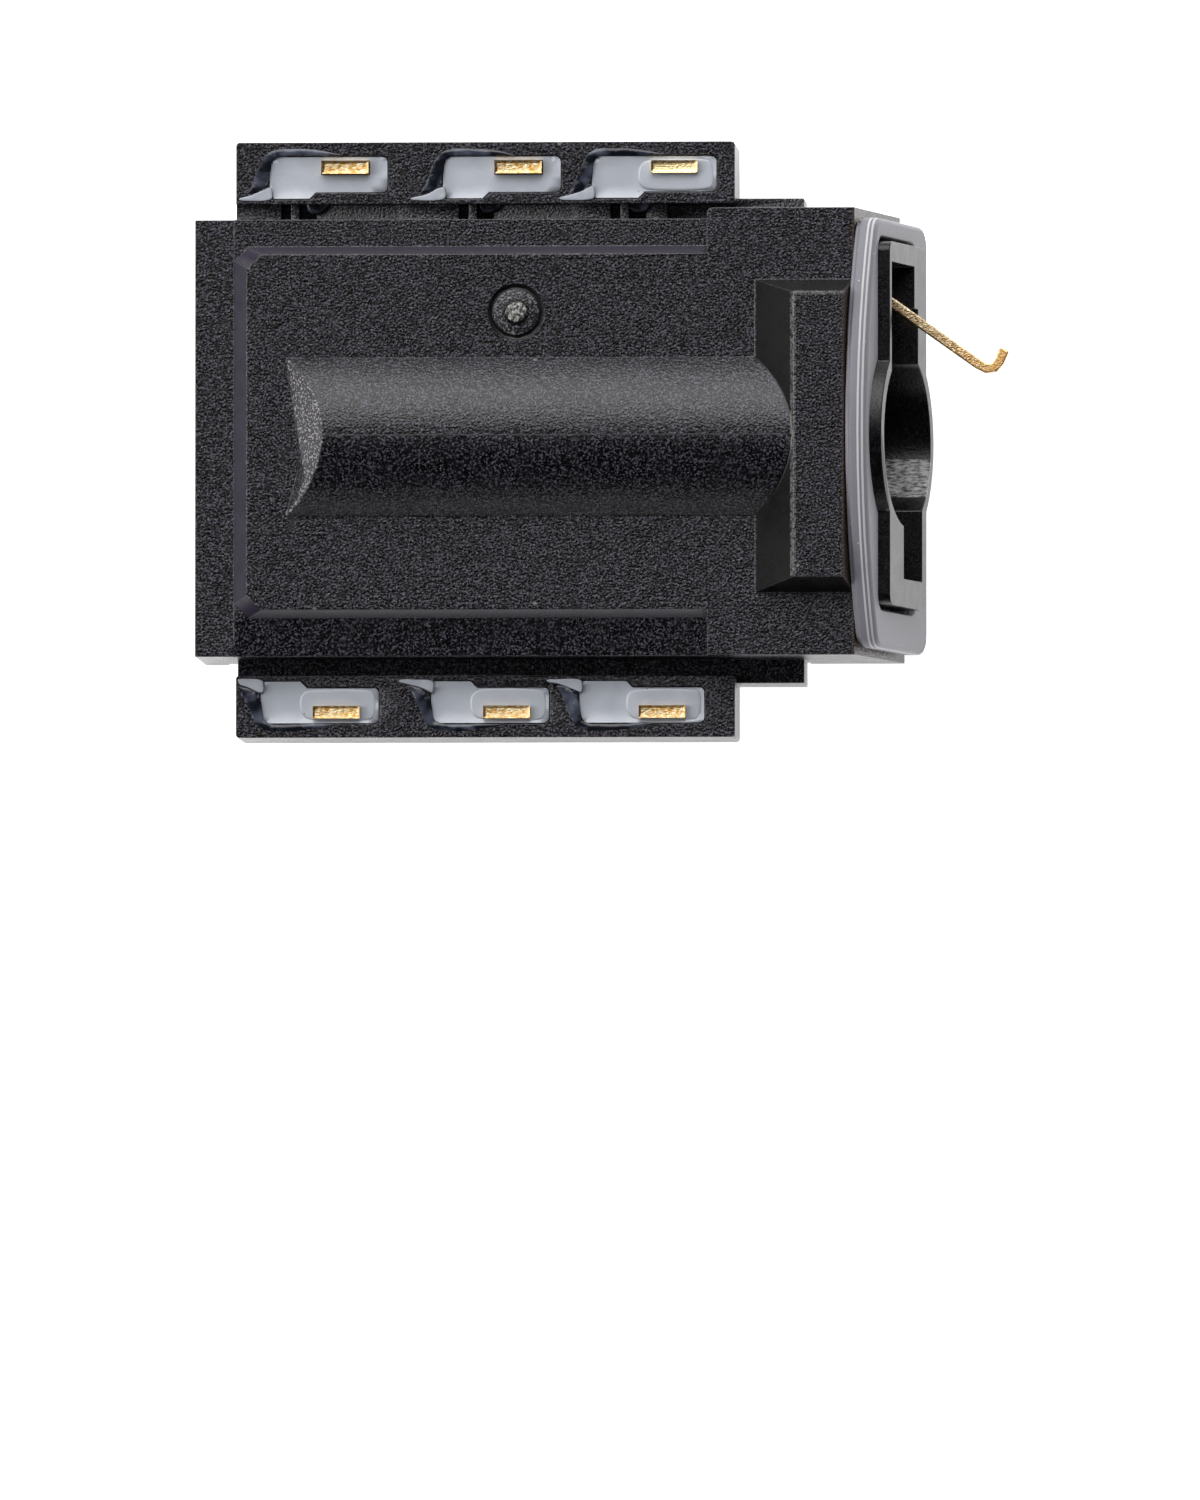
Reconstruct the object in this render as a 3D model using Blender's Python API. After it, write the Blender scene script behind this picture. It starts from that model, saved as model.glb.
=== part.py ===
"""Sealed 3.5 mm audio jack socket module, built in metres with +Z up.

+X points out of the mouth, +Y is the left side seen by the plug's user, and the
module rests on its underside. Distances named FROM_REAR run along +X from the
rear flange, and heights run up from the underside.
"""
import math

import bmesh
import bpy
from mathutils import Vector

MM = 0.001

# Overall sizes
BODY_LENGTH = 14.39 * MM
CONTACT_REACH = 2.25 * MM
CORE_WIDTH = 8.94 * MM
FRONT_SLANT = math.radians(12.8)
CORNER_STEPS = 4
CIRCLE_STEPS = 48

# Bore, on the plug's axis
BORE_FLOOR = 0.60 * MM
BORE_RADIUS = 1.80 * MM
BORE_DEPTH = 13.95 * MM
BORE_TIP_RADIUS = 1.00 * MM
BORE_WAIST_RADIUS = 1.20 * MM
BORE_CONE_LENGTH = 0.90 * MM
BORE_TIP_LENGTH = 2.05 * MM

# Rear flange, border and plateau on the top side
FLANGE_LENGTH = 0.80 * MM
FLANGE_DROP = 0.35 * MM
BORDER_DROP = 0.25 * MM
PLATEAU_BEVEL_REAR = 0.28 * MM
PLATEAU_BEVEL_SIDE = 0.17 * MM
BORDER_LEFT = 0.73 * MM
BORDER_RIGHT = 0.95 * MM
BORDER_RIGHT_LEAN = 0.13 * MM
PLATEAU_CORNER = 0.30 * MM
FULL_WIDTH_FROM_REAR = 10.49 * MM
FULL_WIDTH_OVERHANG = 0.21 * MM
FULL_WIDTH_CORNER = 0.12 * MM

# Barrel that stands out of the plateau
BARREL_WALL = 0.40 * MM
BARREL_RISE = 0.70 * MM
BARREL_RIDGE = 0.08 * MM
BARREL_FROM_REAR = 1.88 * MM

# Front collar: a pad with sloping flanks
COLLAR_FROM_REAR = 11.47 * MM
COLLAR_SLOPE = 0.82 * MM
COLLAR_SIDE_SLOPE = 0.30 * MM
COLLAR_INSET = 1.27 * MM
COLLAR_RISE = 0.80 * MM

# Nose round the mouth, with its keyhole slots
NOSE_LENGTH = 0.69 * MM
NOSE_WALL = 0.25 * MM
NOSE_LEFT_INSET = 0.47 * MM
NOSE_RIGHT_INSET = 1.03 * MM
NOSE_ARM_SHARE = 0.663
NOSE_CORNER = 0.22 * MM
SLOT_LEFT_WALL = 0.42 * MM
SLOT_LEFT_DROP = 0.54 * MM
SLOT_TOP_WALL = 0.16 * MM
SLOT_STEP_INSET = 0.86 * MM
SLOT_STEP_DROP = 0.28 * MM
SLOT_RIGHT_WALL = 0.58 * MM
SLOT_RIGHT_DROP = 1.13 * MM
SLOT_RIGHT_RISE = 0.28 * MM
SLOT_RIGHT_DEPTH = 2.40 * MM

# Silicone gasket round the nose
GASKET_LENGTH = 0.48 * MM
GASKET_NECK = 0.10 * MM
GASKET_NECK_INSET = 0.08 * MM
GASKET_EDGE = 0.07 * MM
GASKET_SIDE_INSET = 0.07 * MM
GASKET_OFFSET = 0.08 * MM
GASKET_WALL = 0.35 * MM
GASKET_END_DROP = 0.92 * MM
GASKET_BOTTOM = 0.03 * MM
GASKET_CORNER = 0.42 * MM
GASKET_GROOVE = 0.10 * MM
GASKET_ARC_STEPS = 12

# Wings with the contact wells, step tabs and side channels
WING_LENGTH = 10.22 * MM
WING_REACH = 1.63 * MM
WING_RISE = 0.50 * MM
WING_BOTTOM = 0.50 * MM
WING_CORNER = 0.07 * MM
TAB_LENGTH = 1.39 * MM
TAB_REACH = 0.50 * MM
CHANNEL_WIDTH = 0.36 * MM
CHANNEL_DEPTH = 0.70 * MM
LEFT_CHANNEL_DEPTH = 0.30 * MM
BLOCK_DEPTH = 0.16 * MM
BLOCKS_FROM_REAR = ((0.80 * MM, 1.72 * MM), (4.12 * MM, 5.36 * MM), (7.69 * MM, 8.47 * MM))
RIB_DEPTH = 0.08 * MM
RIB_WIDTH = 0.17 * MM
RIB_AFTER_BLOCK = 0.20 * MM
CHANNEL_PIT_LENGTH = 0.34 * MM

# Terminal ends and the wells they stand in
LEFT_PINS_FROM_REAR = (3.04 * MM, 6.59 * MM, 9.78 * MM)
RIGHT_PINS_FROM_REAR = (2.86 * MM, 6.35 * MM, 9.53 * MM)
PIN_FROM_EDGE = 0.52 * MM
PIN_WIDTH = 0.96 * MM
PIN_THICKNESS = 0.26 * MM
PIN_STANDS_PROUD = 0.10 * MM
WELL_BEHIND_PIN = 1.57 * MM
WELL_AHEAD_OF_PIN = 0.88 * MM
WELL_FRONT_EXTRA = 0.14 * MM
WELL_STEP_BEHIND_PIN = 0.72 * MM
WELL_WALL = 0.28 * MM
WELL_DEPTH = 1.00 * MM
WELL_INNER_STEP = 0.13 * MM
WELL_INNER_WALL = 0.10 * MM
WELL_CORNER = 0.10 * MM
RESIN_BELOW_RIM = 0.04 * MM

# Contacts inside
STRIP_THICKNESS = 0.20 * MM
STRIP_BOTTOM = 0.62 * MM
POST_FROM_BORE = 0.60 * MM
SPRING_THICKNESS = 0.12 * MM
SPRING_LENGTH = 1.70 * MM
SPRING_CREST = 1.25 * MM
SPRING_REACH = 0.31 * MM
SPRING_FLARE = 0.28 * MM
SPRING_HEIGHT = 0.80 * MM
SPRING_GAP = 0.04 * MM
SPRING_TIP_ROOM = 0.20 * MM
SPRING_STEPS = 12
POCKET_INTO_BORE = 0.30 * MM
POCKET_FROM_BORE = 0.96 * MM
POCKET_RISE = 0.60 * MM
POCKET_BEHIND_PIN = 0.56 * MM

# The torn contact, in its guide and out of the mouth: from the rear, and in from the slot's wall
BENT_THICKNESS = 0.24 * MM
BENT_HEIGHT = 0.30 * MM
BENT_RISE = 0.32 * MM
BENT_PATH = (
    (10.20 * MM, 1.18 * MM), (11.00 * MM, 1.12 * MM), (12.00 * MM, 0.84 * MM),
    (12.90 * MM, 0.52 * MM), (13.45 * MM, 0.44 * MM), (13.86 * MM, 0.56 * MM),
    (14.29 * MM, 0.84 * MM), (15.20 * MM, 1.49 * MM), (15.98 * MM, 2.05 * MM),
    (16.17 * MM, 2.15 * MM), (16.33 * MM, 2.13 * MM), (16.43 * MM, 2.01 * MM),
    (16.54 * MM, 1.74 * MM),
)

# Sealing film on the underside, and its seat
SEAT_DEPTH = 0.15 * MM
SEAT_FROM_REAR = 0.50 * MM
SEAT_LENGTH = 11.95 * MM
SEAT_LEG_LENGTH = 0.79 * MM
SEAT_TONGUE_WIDTH = 2.86 * MM
SEAT_SIDE_MARGIN = 0.30 * MM
SLOPE_INNER_INSET = 0.57 * MM
SLOPE_OUTER_INSET = 0.22 * MM
FILM_THICKNESS = 0.07 * MM
FILM_MARGIN = 0.06 * MM
FILM_CORNER = 0.35 * MM
FILM_WING_FROM_REAR = 2.08 * MM
FILM_WING_LENGTH = 8.57 * MM
FILM_WING_MARGIN = 0.22 * MM
FILM_CUTOUT_FROM_REAR = 4.73 * MM
FILM_CUTOUT_WIDTH = 2.96 * MM

# Gate mark in the plateau
GATE_FROM_REAR = 6.59 * MM
GATE_FROM_AXIS = 2.55 * MM
GATE_RADIUS = 0.57 * MM
GATE_GROOVE_WIDTH = 0.10 * MM
GATE_GROOVE_DEPTH = 0.08 * MM

# Clearance between pieces that seat on each other, overlap of joined bodies, overshoot of a cutter
SEAT_GAP = 0.02 * MM
OVERLAP = 0.15 * MM
OVERSHOOT = 1.00 * MM

# Places that follow from the sizes
REAR_X = -(BODY_LENGTH + CONTACT_REACH) / 2
FOOT_X = REAR_X + BODY_LENGTH
SLOPE = math.tan(FRONT_SLANT)
CORE_HALF = CORE_WIDTH / 2
WING_HALF = CORE_HALF + WING_REACH
PIN_FROM_AXIS = WING_HALF - PIN_FROM_EDGE
PLATEAU_LEFT = CORE_HALF - BORDER_LEFT
PLATEAU_RIGHT = CORE_HALF - BORDER_RIGHT
FULL_WIDTH_LEFT = CORE_HALF + FULL_WIDTH_OVERHANG
COLLAR_HALF = CORE_HALF - COLLAR_INSET
SLOPE_INNER = CORE_HALF - SLOPE_INNER_INSET
SLOPE_OUTER = CORE_HALF - SLOPE_OUTER_INSET
AXIS_HEIGHT = BORE_FLOOR + BORE_RADIUS
BARREL_RADIUS = BORE_RADIUS + BARREL_WALL
PLATEAU_HEIGHT = AXIS_HEIGHT + BARREL_RADIUS - BARREL_RISE
BORDER_HEIGHT = PLATEAU_HEIGHT - BORDER_DROP
NOSE_RADIUS = BORE_RADIUS + NOSE_WALL
NOSE_ARM_HALF = NOSE_RADIUS * NOSE_ARM_SHARE
NOSE_LEFT = CORE_HALF - NOSE_LEFT_INSET
NOSE_RIGHT = CORE_HALF - NOSE_RIGHT_INSET
SLOT_LEFT_REACH = NOSE_LEFT - SLOT_LEFT_WALL
SLOT_STEP_REACH = SLOT_LEFT_REACH - SLOT_STEP_INSET
SLOT_RIGHT_REACH = NOSE_RIGHT - SLOT_RIGHT_WALL
SLOT_LEFT_TOP = AXIS_HEIGHT + NOSE_ARM_HALF - SLOT_TOP_WALL
SLOT_LEFT_BOTTOM = AXIS_HEIGHT - SLOT_LEFT_DROP
GASKET_HALF = CORE_HALF - GASKET_SIDE_INSET
GASKET_TOP = AXIS_HEIGHT + NOSE_RADIUS + GASKET_WALL
MOUTH_X = FOOT_X + NOSE_LENGTH - AXIS_HEIGHT * SLOPE
WING_TOP = AXIS_HEIGHT + WING_RISE
WELL_FLOOR = WING_TOP - WELL_DEPTH
STRIP_TOP = STRIP_BOTTOM + STRIP_THICKNESS
SPRING_TOP = AXIS_HEIGHT + SPRING_HEIGHT / 2
POCKET_AHEAD_OF_PIN = PIN_WIDTH / 2 + SPRING_GAP + SPRING_LENGTH + SPRING_TIP_ROOM
POST_FROM_AXIS = BORE_RADIUS + POST_FROM_BORE
POCKET_INNER = BORE_RADIUS - POCKET_INTO_BORE
POCKET_OUTER = BORE_RADIUS + POCKET_FROM_BORE
POCKET_TOP = AXIS_HEIGHT + POCKET_RISE
LEFT = 1
RIGHT = -1
ROW_NAMES = ("rear", "middle", "front")


def clear_scene():
    """Start from an empty scene."""
    for item in list(bpy.data.objects):
        bpy.data.objects.remove(item, do_unlink=True)


def make_material(name, color, roughness, metallic=0.0):
    """A Principled material of one colour."""
    material = bpy.data.materials.new(name)
    material.use_nodes = True
    shader = material.node_tree.nodes["Principled BSDF"]
    shader.inputs["Base Color"].default_value = (*color, 1.0)
    shader.inputs["Roughness"].default_value = roughness
    shader.inputs["Metallic"].default_value = metallic
    return material


def loft(name, sections):
    """A closed body through sections that have the same number of points."""
    mesh = bmesh.new()
    rings = [[mesh.verts.new(point) for point in section] for section in sections]
    mesh.faces.new(rings[0])
    mesh.faces.new(rings[-1])
    for lower, upper in zip(rings, rings[1:]):
        for i in range(len(lower)):
            j = (i + 1) % len(lower)
            mesh.faces.new((lower[i], lower[j], upper[j], upper[i]))
    bmesh.ops.recalc_face_normals(mesh, faces=mesh.faces)
    data = bpy.data.meshes.new(name)
    mesh.to_mesh(data)
    mesh.free()
    item = bpy.data.objects.new(name, data)
    bpy.context.collection.objects.link(item)
    return item


def along_x(name, outline, low, high):
    """An outline of (y, z) points extruded along X."""
    return loft(name, [[(x, y, z) for y, z in outline] for x in (low, high)])


def along_y(name, outline, low, high):
    """An outline of (x, z) points extruded along Y."""
    return loft(name, [[(x, y, z) for x, z in outline] for y in (low, high)])


def along_z(name, outline, low, high):
    """An outline of (x, y) points extruded along Z."""
    return loft(name, [[(x, y, z) for x, y in outline] for z in (low, high)])


def slanted(outline, offset):
    """Put an outline of (y, z) points on a plane parallel to the front face."""
    return [(FOOT_X + offset - z * SLOPE, y, z) for y, z in outline]


def box(low_a, high_a, low_b, high_b):
    """A rectangle as an outline."""
    return [(low_a, low_b), (high_a, low_b), (high_a, high_b), (low_a, high_b)]


def rounded(corners, steps=CORNER_STEPS):
    """An outline whose corners (a, b, radius) are rounded by arcs."""
    outline = []
    for i, (a, b, radius) in enumerate(corners):
        here = Vector((a, b))
        if radius == 0:
            outline.append((a, b))
            continue
        before = (Vector(corners[i - 1][:2]) - here).normalized()
        after = (Vector(corners[(i + 1) % len(corners)][:2]) - here).normalized()
        half = before.angle(after) / 2
        centre = here + (before + after).normalized() * radius / math.sin(half)
        start = here + before * radius / math.tan(half) - centre
        end = here + after * radius / math.tan(half) - centre
        first = math.atan2(start.y, start.x)
        sweep = math.remainder(math.atan2(end.y, end.x) - first, math.tau)
        for k in range(steps + 1):
            angle = first + sweep * k / steps
            outline.append((centre.x + radius * math.cos(angle),
                            centre.y + radius * math.sin(angle)))
    return outline


def circle(centre_a, centre_b, radius, steps=CIRCLE_STEPS):
    """A round outline."""
    turn = [math.tau * (k + 0.5) / steps for k in range(steps)]
    return [(centre_a + radius * math.cos(t), centre_b + radius * math.sin(t)) for t in turn]


def moved_out(outline, distance):
    """Move each side of an anticlockwise outline outwards by a distance."""
    result = []
    for i in range(len(outline)):
        before, here = Vector(outline[i - 1]), Vector(outline[i])
        after = Vector(outline[(i + 1) % len(outline)])
        first, second = (here - before).normalized(), (after - here).normalized()
        normal = Vector((first.y + second.y, -first.x - second.x)).normalized()
        shift = distance / max(0.5, normal.dot(Vector((first.y, -first.x))))
        result.append(tuple(here + normal * shift))
    return result


def ribbon(path, thickness):
    """The outline of a strip that follows a path of points."""
    left, right = [], []
    for i, point in enumerate(path):
        before = Vector(path[max(i - 1, 0)])
        after = Vector(path[min(i + 1, len(path) - 1)])
        run = (after - before).normalized()
        side = Vector((-run.y, run.x)) * thickness / 2
        left.append(tuple(Vector(point) + side))
        right.append(tuple(Vector(point) - side))
    return left + right[::-1]


def combine(target, operand, operation):
    """Join, cut or intersect two bodies, and drop the second."""
    modifier = target.modifiers.new(operation.title(), "BOOLEAN")
    modifier.operation = operation
    modifier.solver = "EXACT"
    modifier.object = operand
    bpy.context.view_layer.objects.active = target
    bpy.ops.object.modifier_apply(modifier=modifier.name)
    bpy.data.objects.remove(operand, do_unlink=True)


def join(target, operand):
    combine(target, operand, "UNION")


def cut(target, operand):
    combine(target, operand, "DIFFERENCE")


def finish(item, material, smooth_angle=30):
    """Give a body its material and smooth its round faces."""
    item.data.materials.clear()
    item.data.materials.append(material)
    item.data.shade_smooth()
    item.data.set_sharp_from_angle(angle=math.radians(smooth_angle))
    return item


def side_box(side, low_y, high_y):
    """The two Y limits of a stretch on one side, in rising order."""
    return sorted((side * low_y, side * high_y))


def add_core(name):
    """The block with its rear flange, up to the border's level."""
    flange_x = REAR_X + FLANGE_LENGTH
    flange_top = PLATEAU_HEIGHT - FLANGE_DROP
    past = FOOT_X + OVERSHOOT
    profile = [(REAR_X, 0), (past, 0), (past, BORDER_HEIGHT), (flange_x, BORDER_HEIGHT),
               (flange_x, flange_top), (REAR_X, flange_top)]
    return along_y(name, profile, -CORE_HALF, CORE_HALF)


def add_plateau():
    """The raised plateau, with bevels at its rear and its sides."""
    rear = REAR_X + FLANGE_LENGTH
    past = FOOT_X + OVERSHOOT
    corner = PLATEAU_CORNER

    def outline(inset_rear, inset_side):
        low = -PLATEAU_RIGHT - PLATEAU_BEVEL_SIDE + inset_side
        high = PLATEAU_LEFT + PLATEAU_BEVEL_SIDE - inset_side
        x = rear + inset_rear
        return [(x + corner, low), (past, low), (past, high), (x + corner, high),
                (x, high - corner), (x, low + corner)]

    foot = outline(0, 0)
    crest = outline(PLATEAU_BEVEL_REAR, PLATEAU_BEVEL_SIDE)
    sections = [(BORDER_HEIGHT - OVERSHOOT, foot), (BORDER_HEIGHT, foot), (PLATEAU_HEIGHT, crest)]
    return loft("plateau", [[(x, y, z) for x, y in points] for z, points in sections])


def add_full_width_block():
    """The front stretch, where the plateau's level reaches both sides."""
    start = REAR_X + FULL_WIDTH_FROM_REAR
    past = FOOT_X + OVERSHOOT
    corner = FULL_WIDTH_CORNER
    outline = rounded([(start, -CORE_HALF, 0), (past, -CORE_HALF, 0), (past, FULL_WIDTH_LEFT, 0),
                       (start, FULL_WIDTH_LEFT, corner)])
    return along_z("full_width", outline, WING_BOTTOM - OVERLAP, PLATEAU_HEIGHT)


def cut_right_border(housing):
    """The right border leans down from the plateau's foot to the side."""
    foot, outside = -PLATEAU_RIGHT - PLATEAU_BEVEL_SIDE, -CORE_HALF - OVERSHOOT
    fall = BORDER_RIGHT_LEAN / (CORE_HALF + foot) * (foot - outside)
    wedge = [(foot, BORDER_HEIGHT), (foot, BORDER_HEIGHT + OVERSHOOT),
             (outside, BORDER_HEIGHT + OVERSHOOT), (outside, BORDER_HEIGHT - fall)]
    start = REAR_X + FLANGE_LENGTH
    cut(housing, along_x("right_lean", wedge, start, REAR_X + FULL_WIDTH_FROM_REAR))


def barrel_outline():
    """The barrel seen along X: a circle whose upper half rises to a low ridge."""
    outline = []
    for k in range(CIRCLE_STEPS):
        turn = math.tau * (k / CIRCLE_STEPS + 0.25)
        y, z = BARREL_RADIUS * math.cos(turn), BARREL_RADIUS * math.sin(turn)
        ridge = BARREL_RIDGE * (1 - abs(y) / BARREL_RADIUS) if z > 0 else 0
        outline.append((y, AXIS_HEIGHT + z + ridge))
    return outline


def add_barrel():
    """The barrel over the bore, its rear end cut at 45 degrees."""
    foot = REAR_X + BARREL_FROM_REAR
    outline = barrel_outline()
    rear = [(foot + max(0, z - AXIS_HEIGHT) - PLATEAU_HEIGHT + AXIS_HEIGHT, y, z)
            for y, z in outline]
    front = [(FOOT_X + OVERSHOOT, y, z) for y, z in outline]
    return loft("barrel", [rear, front])


def add_collar():
    """The pad behind the gasket, with its sloping flanks."""
    start = REAR_X + COLLAR_FROM_REAR
    past = FOOT_X + OVERSHOOT
    half = COLLAR_HALF
    foot = box(start, past, -half, half)
    crest = box(start + COLLAR_SLOPE, past, -half + COLLAR_SIDE_SLOPE, half - COLLAR_SIDE_SLOPE)
    levels = [(PLATEAU_HEIGHT - OVERSHOOT, foot), (PLATEAU_HEIGHT, foot),
              (PLATEAU_HEIGHT + COLLAR_RISE, crest)]
    return loft("collar", [[(x, y, z) for x, y in points] for z, points in levels])


def add_wing(side):
    """One wing: the block of the wells and the lower floor of the side channel."""
    inner = CORE_HALF - SEAT_SIDE_MARGIN
    channel = CORE_HALF + CHANNEL_WIDTH
    low = WING_BOTTOM - OVERLAP
    channel_floor = WING_TOP - CHANNEL_DEPTH
    start = REAR_X + FLANGE_LENGTH
    end = start + WING_LENGTH
    y_low, y_high = side_box(side, channel, WING_HALF)
    radius = WING_CORNER
    block = rounded([(start, y_low, radius), (end, y_low, radius),
                     (end, y_high, radius), (start, y_high, radius)])
    wing = along_z("wing", block, low, WING_TOP)
    y_low, y_high = side_box(side, inner, channel + WELL_INNER_WALL / 2)
    join(wing, along_z("floor", box(start, end, y_low, y_high), low, channel_floor))
    y_low, y_high = side_box(side, inner, CORE_HALF + TAB_REACH)
    tab = box(end - TAB_LENGTH, end + TAB_LENGTH, y_low, y_high)
    join(wing, along_z("tab", tab, low, channel_floor))
    return wing


def channel_fill(start, end, depth):
    """A stretch of the left side channel, filled up to a depth below the wing's top."""
    y_low = CORE_HALF - SEAT_SIDE_MARGIN
    y_high = CORE_HALF + CHANNEL_WIDTH + WELL_INNER_WALL / 2
    bottom = WING_TOP - CHANNEL_DEPTH - OVERLAP
    return along_z("fill", box(start, end, y_low, y_high), bottom, WING_TOP - depth)


def fill_left_channel(housing):
    """Behind each well: a block, a thin rib and a deep pit, and between them a shallow floor."""
    floor_start = REAR_X + FLANGE_LENGTH
    for block_start, block_end in BLOCKS_FROM_REAR:
        block_x, block_end_x = REAR_X + block_start, REAR_X + block_end
        rib_x = block_end_x + RIB_AFTER_BLOCK
        pit_end = rib_x + RIB_WIDTH + CHANNEL_PIT_LENGTH
        if block_x > floor_start + OVERLAP:
            join(housing, channel_fill(floor_start, block_x + OVERLAP, LEFT_CHANNEL_DEPTH))
        join(housing, channel_fill(block_x, block_end_x, BLOCK_DEPTH))
        join(housing, channel_fill(rib_x, rib_x + RIB_WIDTH, RIB_DEPTH))
        floor_start = pit_end
    end = REAR_X + FLANGE_LENGTH + WING_LENGTH - TAB_LENGTH
    join(housing, channel_fill(floor_start, end, LEFT_CHANNEL_DEPTH))


def front_trim():
    """Everything ahead of the slanted front face."""
    top = GASKET_TOP + OVERSHOOT
    past = FOOT_X + BODY_LENGTH
    profile = [(FOOT_X + OVERSHOOT * SLOPE, -OVERSHOOT), (past, -OVERSHOOT), (past, top),
               (FOOT_X - top * SLOPE, top)]
    return along_y("front_trim", profile, -2 * WING_HALF, 2 * WING_HALF)


def nose_outline():
    """The nose seen from the front: a round middle with a flat arm on each side."""
    radius, corner = NOSE_RADIUS, NOSE_CORNER
    arm_top, arm_bottom = AXIS_HEIGHT + NOSE_ARM_HALF, AXIS_HEIGHT - NOSE_ARM_HALF

    def arc(first, last):
        steps = CIRCLE_STEPS // 4
        angles = [first + (last - first) * k / steps for k in range(steps + 1)]
        return [(radius * math.cos(t), AXIS_HEIGHT + radius * math.sin(t), 0) for t in angles]

    lift = math.asin(NOSE_ARM_SHARE)
    corners = arc(lift, math.pi - lift)
    corners += [(-NOSE_RIGHT, arm_top, corner), (-NOSE_RIGHT, arm_bottom, corner)]
    corners += arc(math.pi + lift, math.tau - lift)
    corners += [(NOSE_LEFT, arm_bottom, corner), (NOSE_LEFT, arm_top, corner)]
    return rounded(corners)


def cut_bore(housing):
    """The plug's bore, and the keyhole slots at its mouth."""
    end = MOUTH_X - BORE_DEPTH
    past = MOUTH_X + OVERSHOOT
    stations = [(end, BORE_TIP_RADIUS), (end + BORE_TIP_LENGTH - BORE_CONE_LENGTH, BORE_WAIST_RADIUS),
                (end + BORE_TIP_LENGTH, BORE_RADIUS), (past, BORE_RADIUS)]
    sections = [[(x, y, z) for y, z in circle(0, AXIS_HEIGHT, radius)] for x, radius in stations]
    bore = loft("bore", sections)
    left_start = REAR_X + LEFT_PINS_FROM_REAR[2] - PIN_WIDTH / 2
    left = box(0, SLOT_LEFT_REACH, SLOT_LEFT_BOTTOM, SLOT_LEFT_TOP)
    step = box(0, SLOT_STEP_REACH, SLOT_LEFT_BOTTOM - SLOT_STEP_DROP, AXIS_HEIGHT)
    right = box(-SLOT_RIGHT_REACH, 0, AXIS_HEIGHT - SLOT_RIGHT_DROP, AXIS_HEIGHT + SLOT_RIGHT_RISE)
    join(bore, along_x("left_slot", left, left_start, past))
    join(bore, along_x("left_step", step, MOUTH_X - SLOT_RIGHT_DEPTH, past))
    join(bore, along_x("right_slot", right, MOUTH_X - SLOT_RIGHT_DEPTH, past))
    cut(housing, bore)


def well_outline(side, pin_x, behind, margin=0.0):
    """A well seen from above: a wide rear stretch, and a narrower one round the pin."""
    inner = CORE_HALF + CHANNEL_WIDTH + WELL_INNER_WALL + margin
    outer = WING_HALF - WELL_WALL - margin
    rear, front = pin_x - behind + margin, pin_x + WELL_AHEAD_OF_PIN - margin
    step = pin_x - WELL_STEP_BEHIND_PIN - margin
    radius = WELL_CORNER
    narrow = inner + WELL_INNER_STEP
    corners = [(rear, inner, radius), (step, inner, 0), (step + WELL_INNER_STEP, narrow, 0),
               (front, narrow, radius), (front, outer, radius), (rear, outer, radius)]
    return rounded([(x, side * y, r) for x, y, r in corners])


def cut_contact_space(housing, side, pin_x, behind):
    """The well, the slit of the pin, the groove of the strip and the spring's pocket."""
    half = PIN_WIDTH / 2 + SEAT_GAP
    well = along_z("well", well_outline(side, pin_x, behind), WELL_FLOOR, WING_TOP + OVERSHOOT)
    cut(housing, well)
    reach = PIN_THICKNESS / 2 + SEAT_GAP
    slit_y = side_box(side, PIN_FROM_AXIS - reach, PIN_FROM_AXIS + reach)
    slit = box(pin_x - half, pin_x + half, *slit_y)
    cut(housing, along_z("slit", slit, STRIP_BOTTOM, WELL_FLOOR + OVERLAP))
    groove_y = side_box(side, POCKET_INNER, PIN_FROM_AXIS + reach)
    groove = box(pin_x - half, pin_x + half, *groove_y)
    cut(housing, along_z("groove", groove, -OVERSHOOT, STRIP_TOP + SEAT_GAP))
    pocket = box(pin_x - POCKET_BEHIND_PIN, pin_x + POCKET_AHEAD_OF_PIN,
                 *side_box(side, POCKET_INNER, POCKET_OUTER))
    cut(housing, along_z("pocket", pocket, -OVERSHOOT, POCKET_TOP))


def underside(drop, half_width):
    """The line of the underside across the wings, from right to left."""
    low, high = SEAT_DEPTH - drop, WING_BOTTOM - drop
    return [(-half_width, high), (-SLOPE_OUTER, high), (-SLOPE_INNER, low),
            (SLOPE_INNER, low), (SLOPE_OUTER, high), (half_width, high)]


def cut_film_seat(housing):
    """The recess of the film, with two legs beside the bare tongue."""
    start = REAR_X + SEAT_FROM_REAR
    end = start + SEAT_LENGTH
    outside = 2 * WING_HALF
    profile = underside(0, outside) + [(outside, -OVERSHOOT), (-outside, -OVERSHOOT)]
    cut(housing, along_x("film_seat", profile, start, end))
    tongue, edge = SEAT_TONGUE_WIDTH / 2, CORE_HALF - SEAT_SIDE_MARGIN
    rise = (WING_BOTTOM - SEAT_DEPTH) / (SLOPE_OUTER - SLOPE_INNER)
    edge_level = SEAT_DEPTH + (edge - SLOPE_INNER) * rise
    leg = [(tongue, -OVERSHOOT), (edge, -OVERSHOOT), (edge, edge_level),
           (SLOPE_INNER, SEAT_DEPTH), (tongue, SEAT_DEPTH)]
    for side in (LEFT, RIGHT):
        outline = [(side * y, z) for y, z in leg]
        cut(housing, along_x("seat_leg", outline, end - OVERSHOOT, end + SEAT_LEG_LENGTH))


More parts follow.
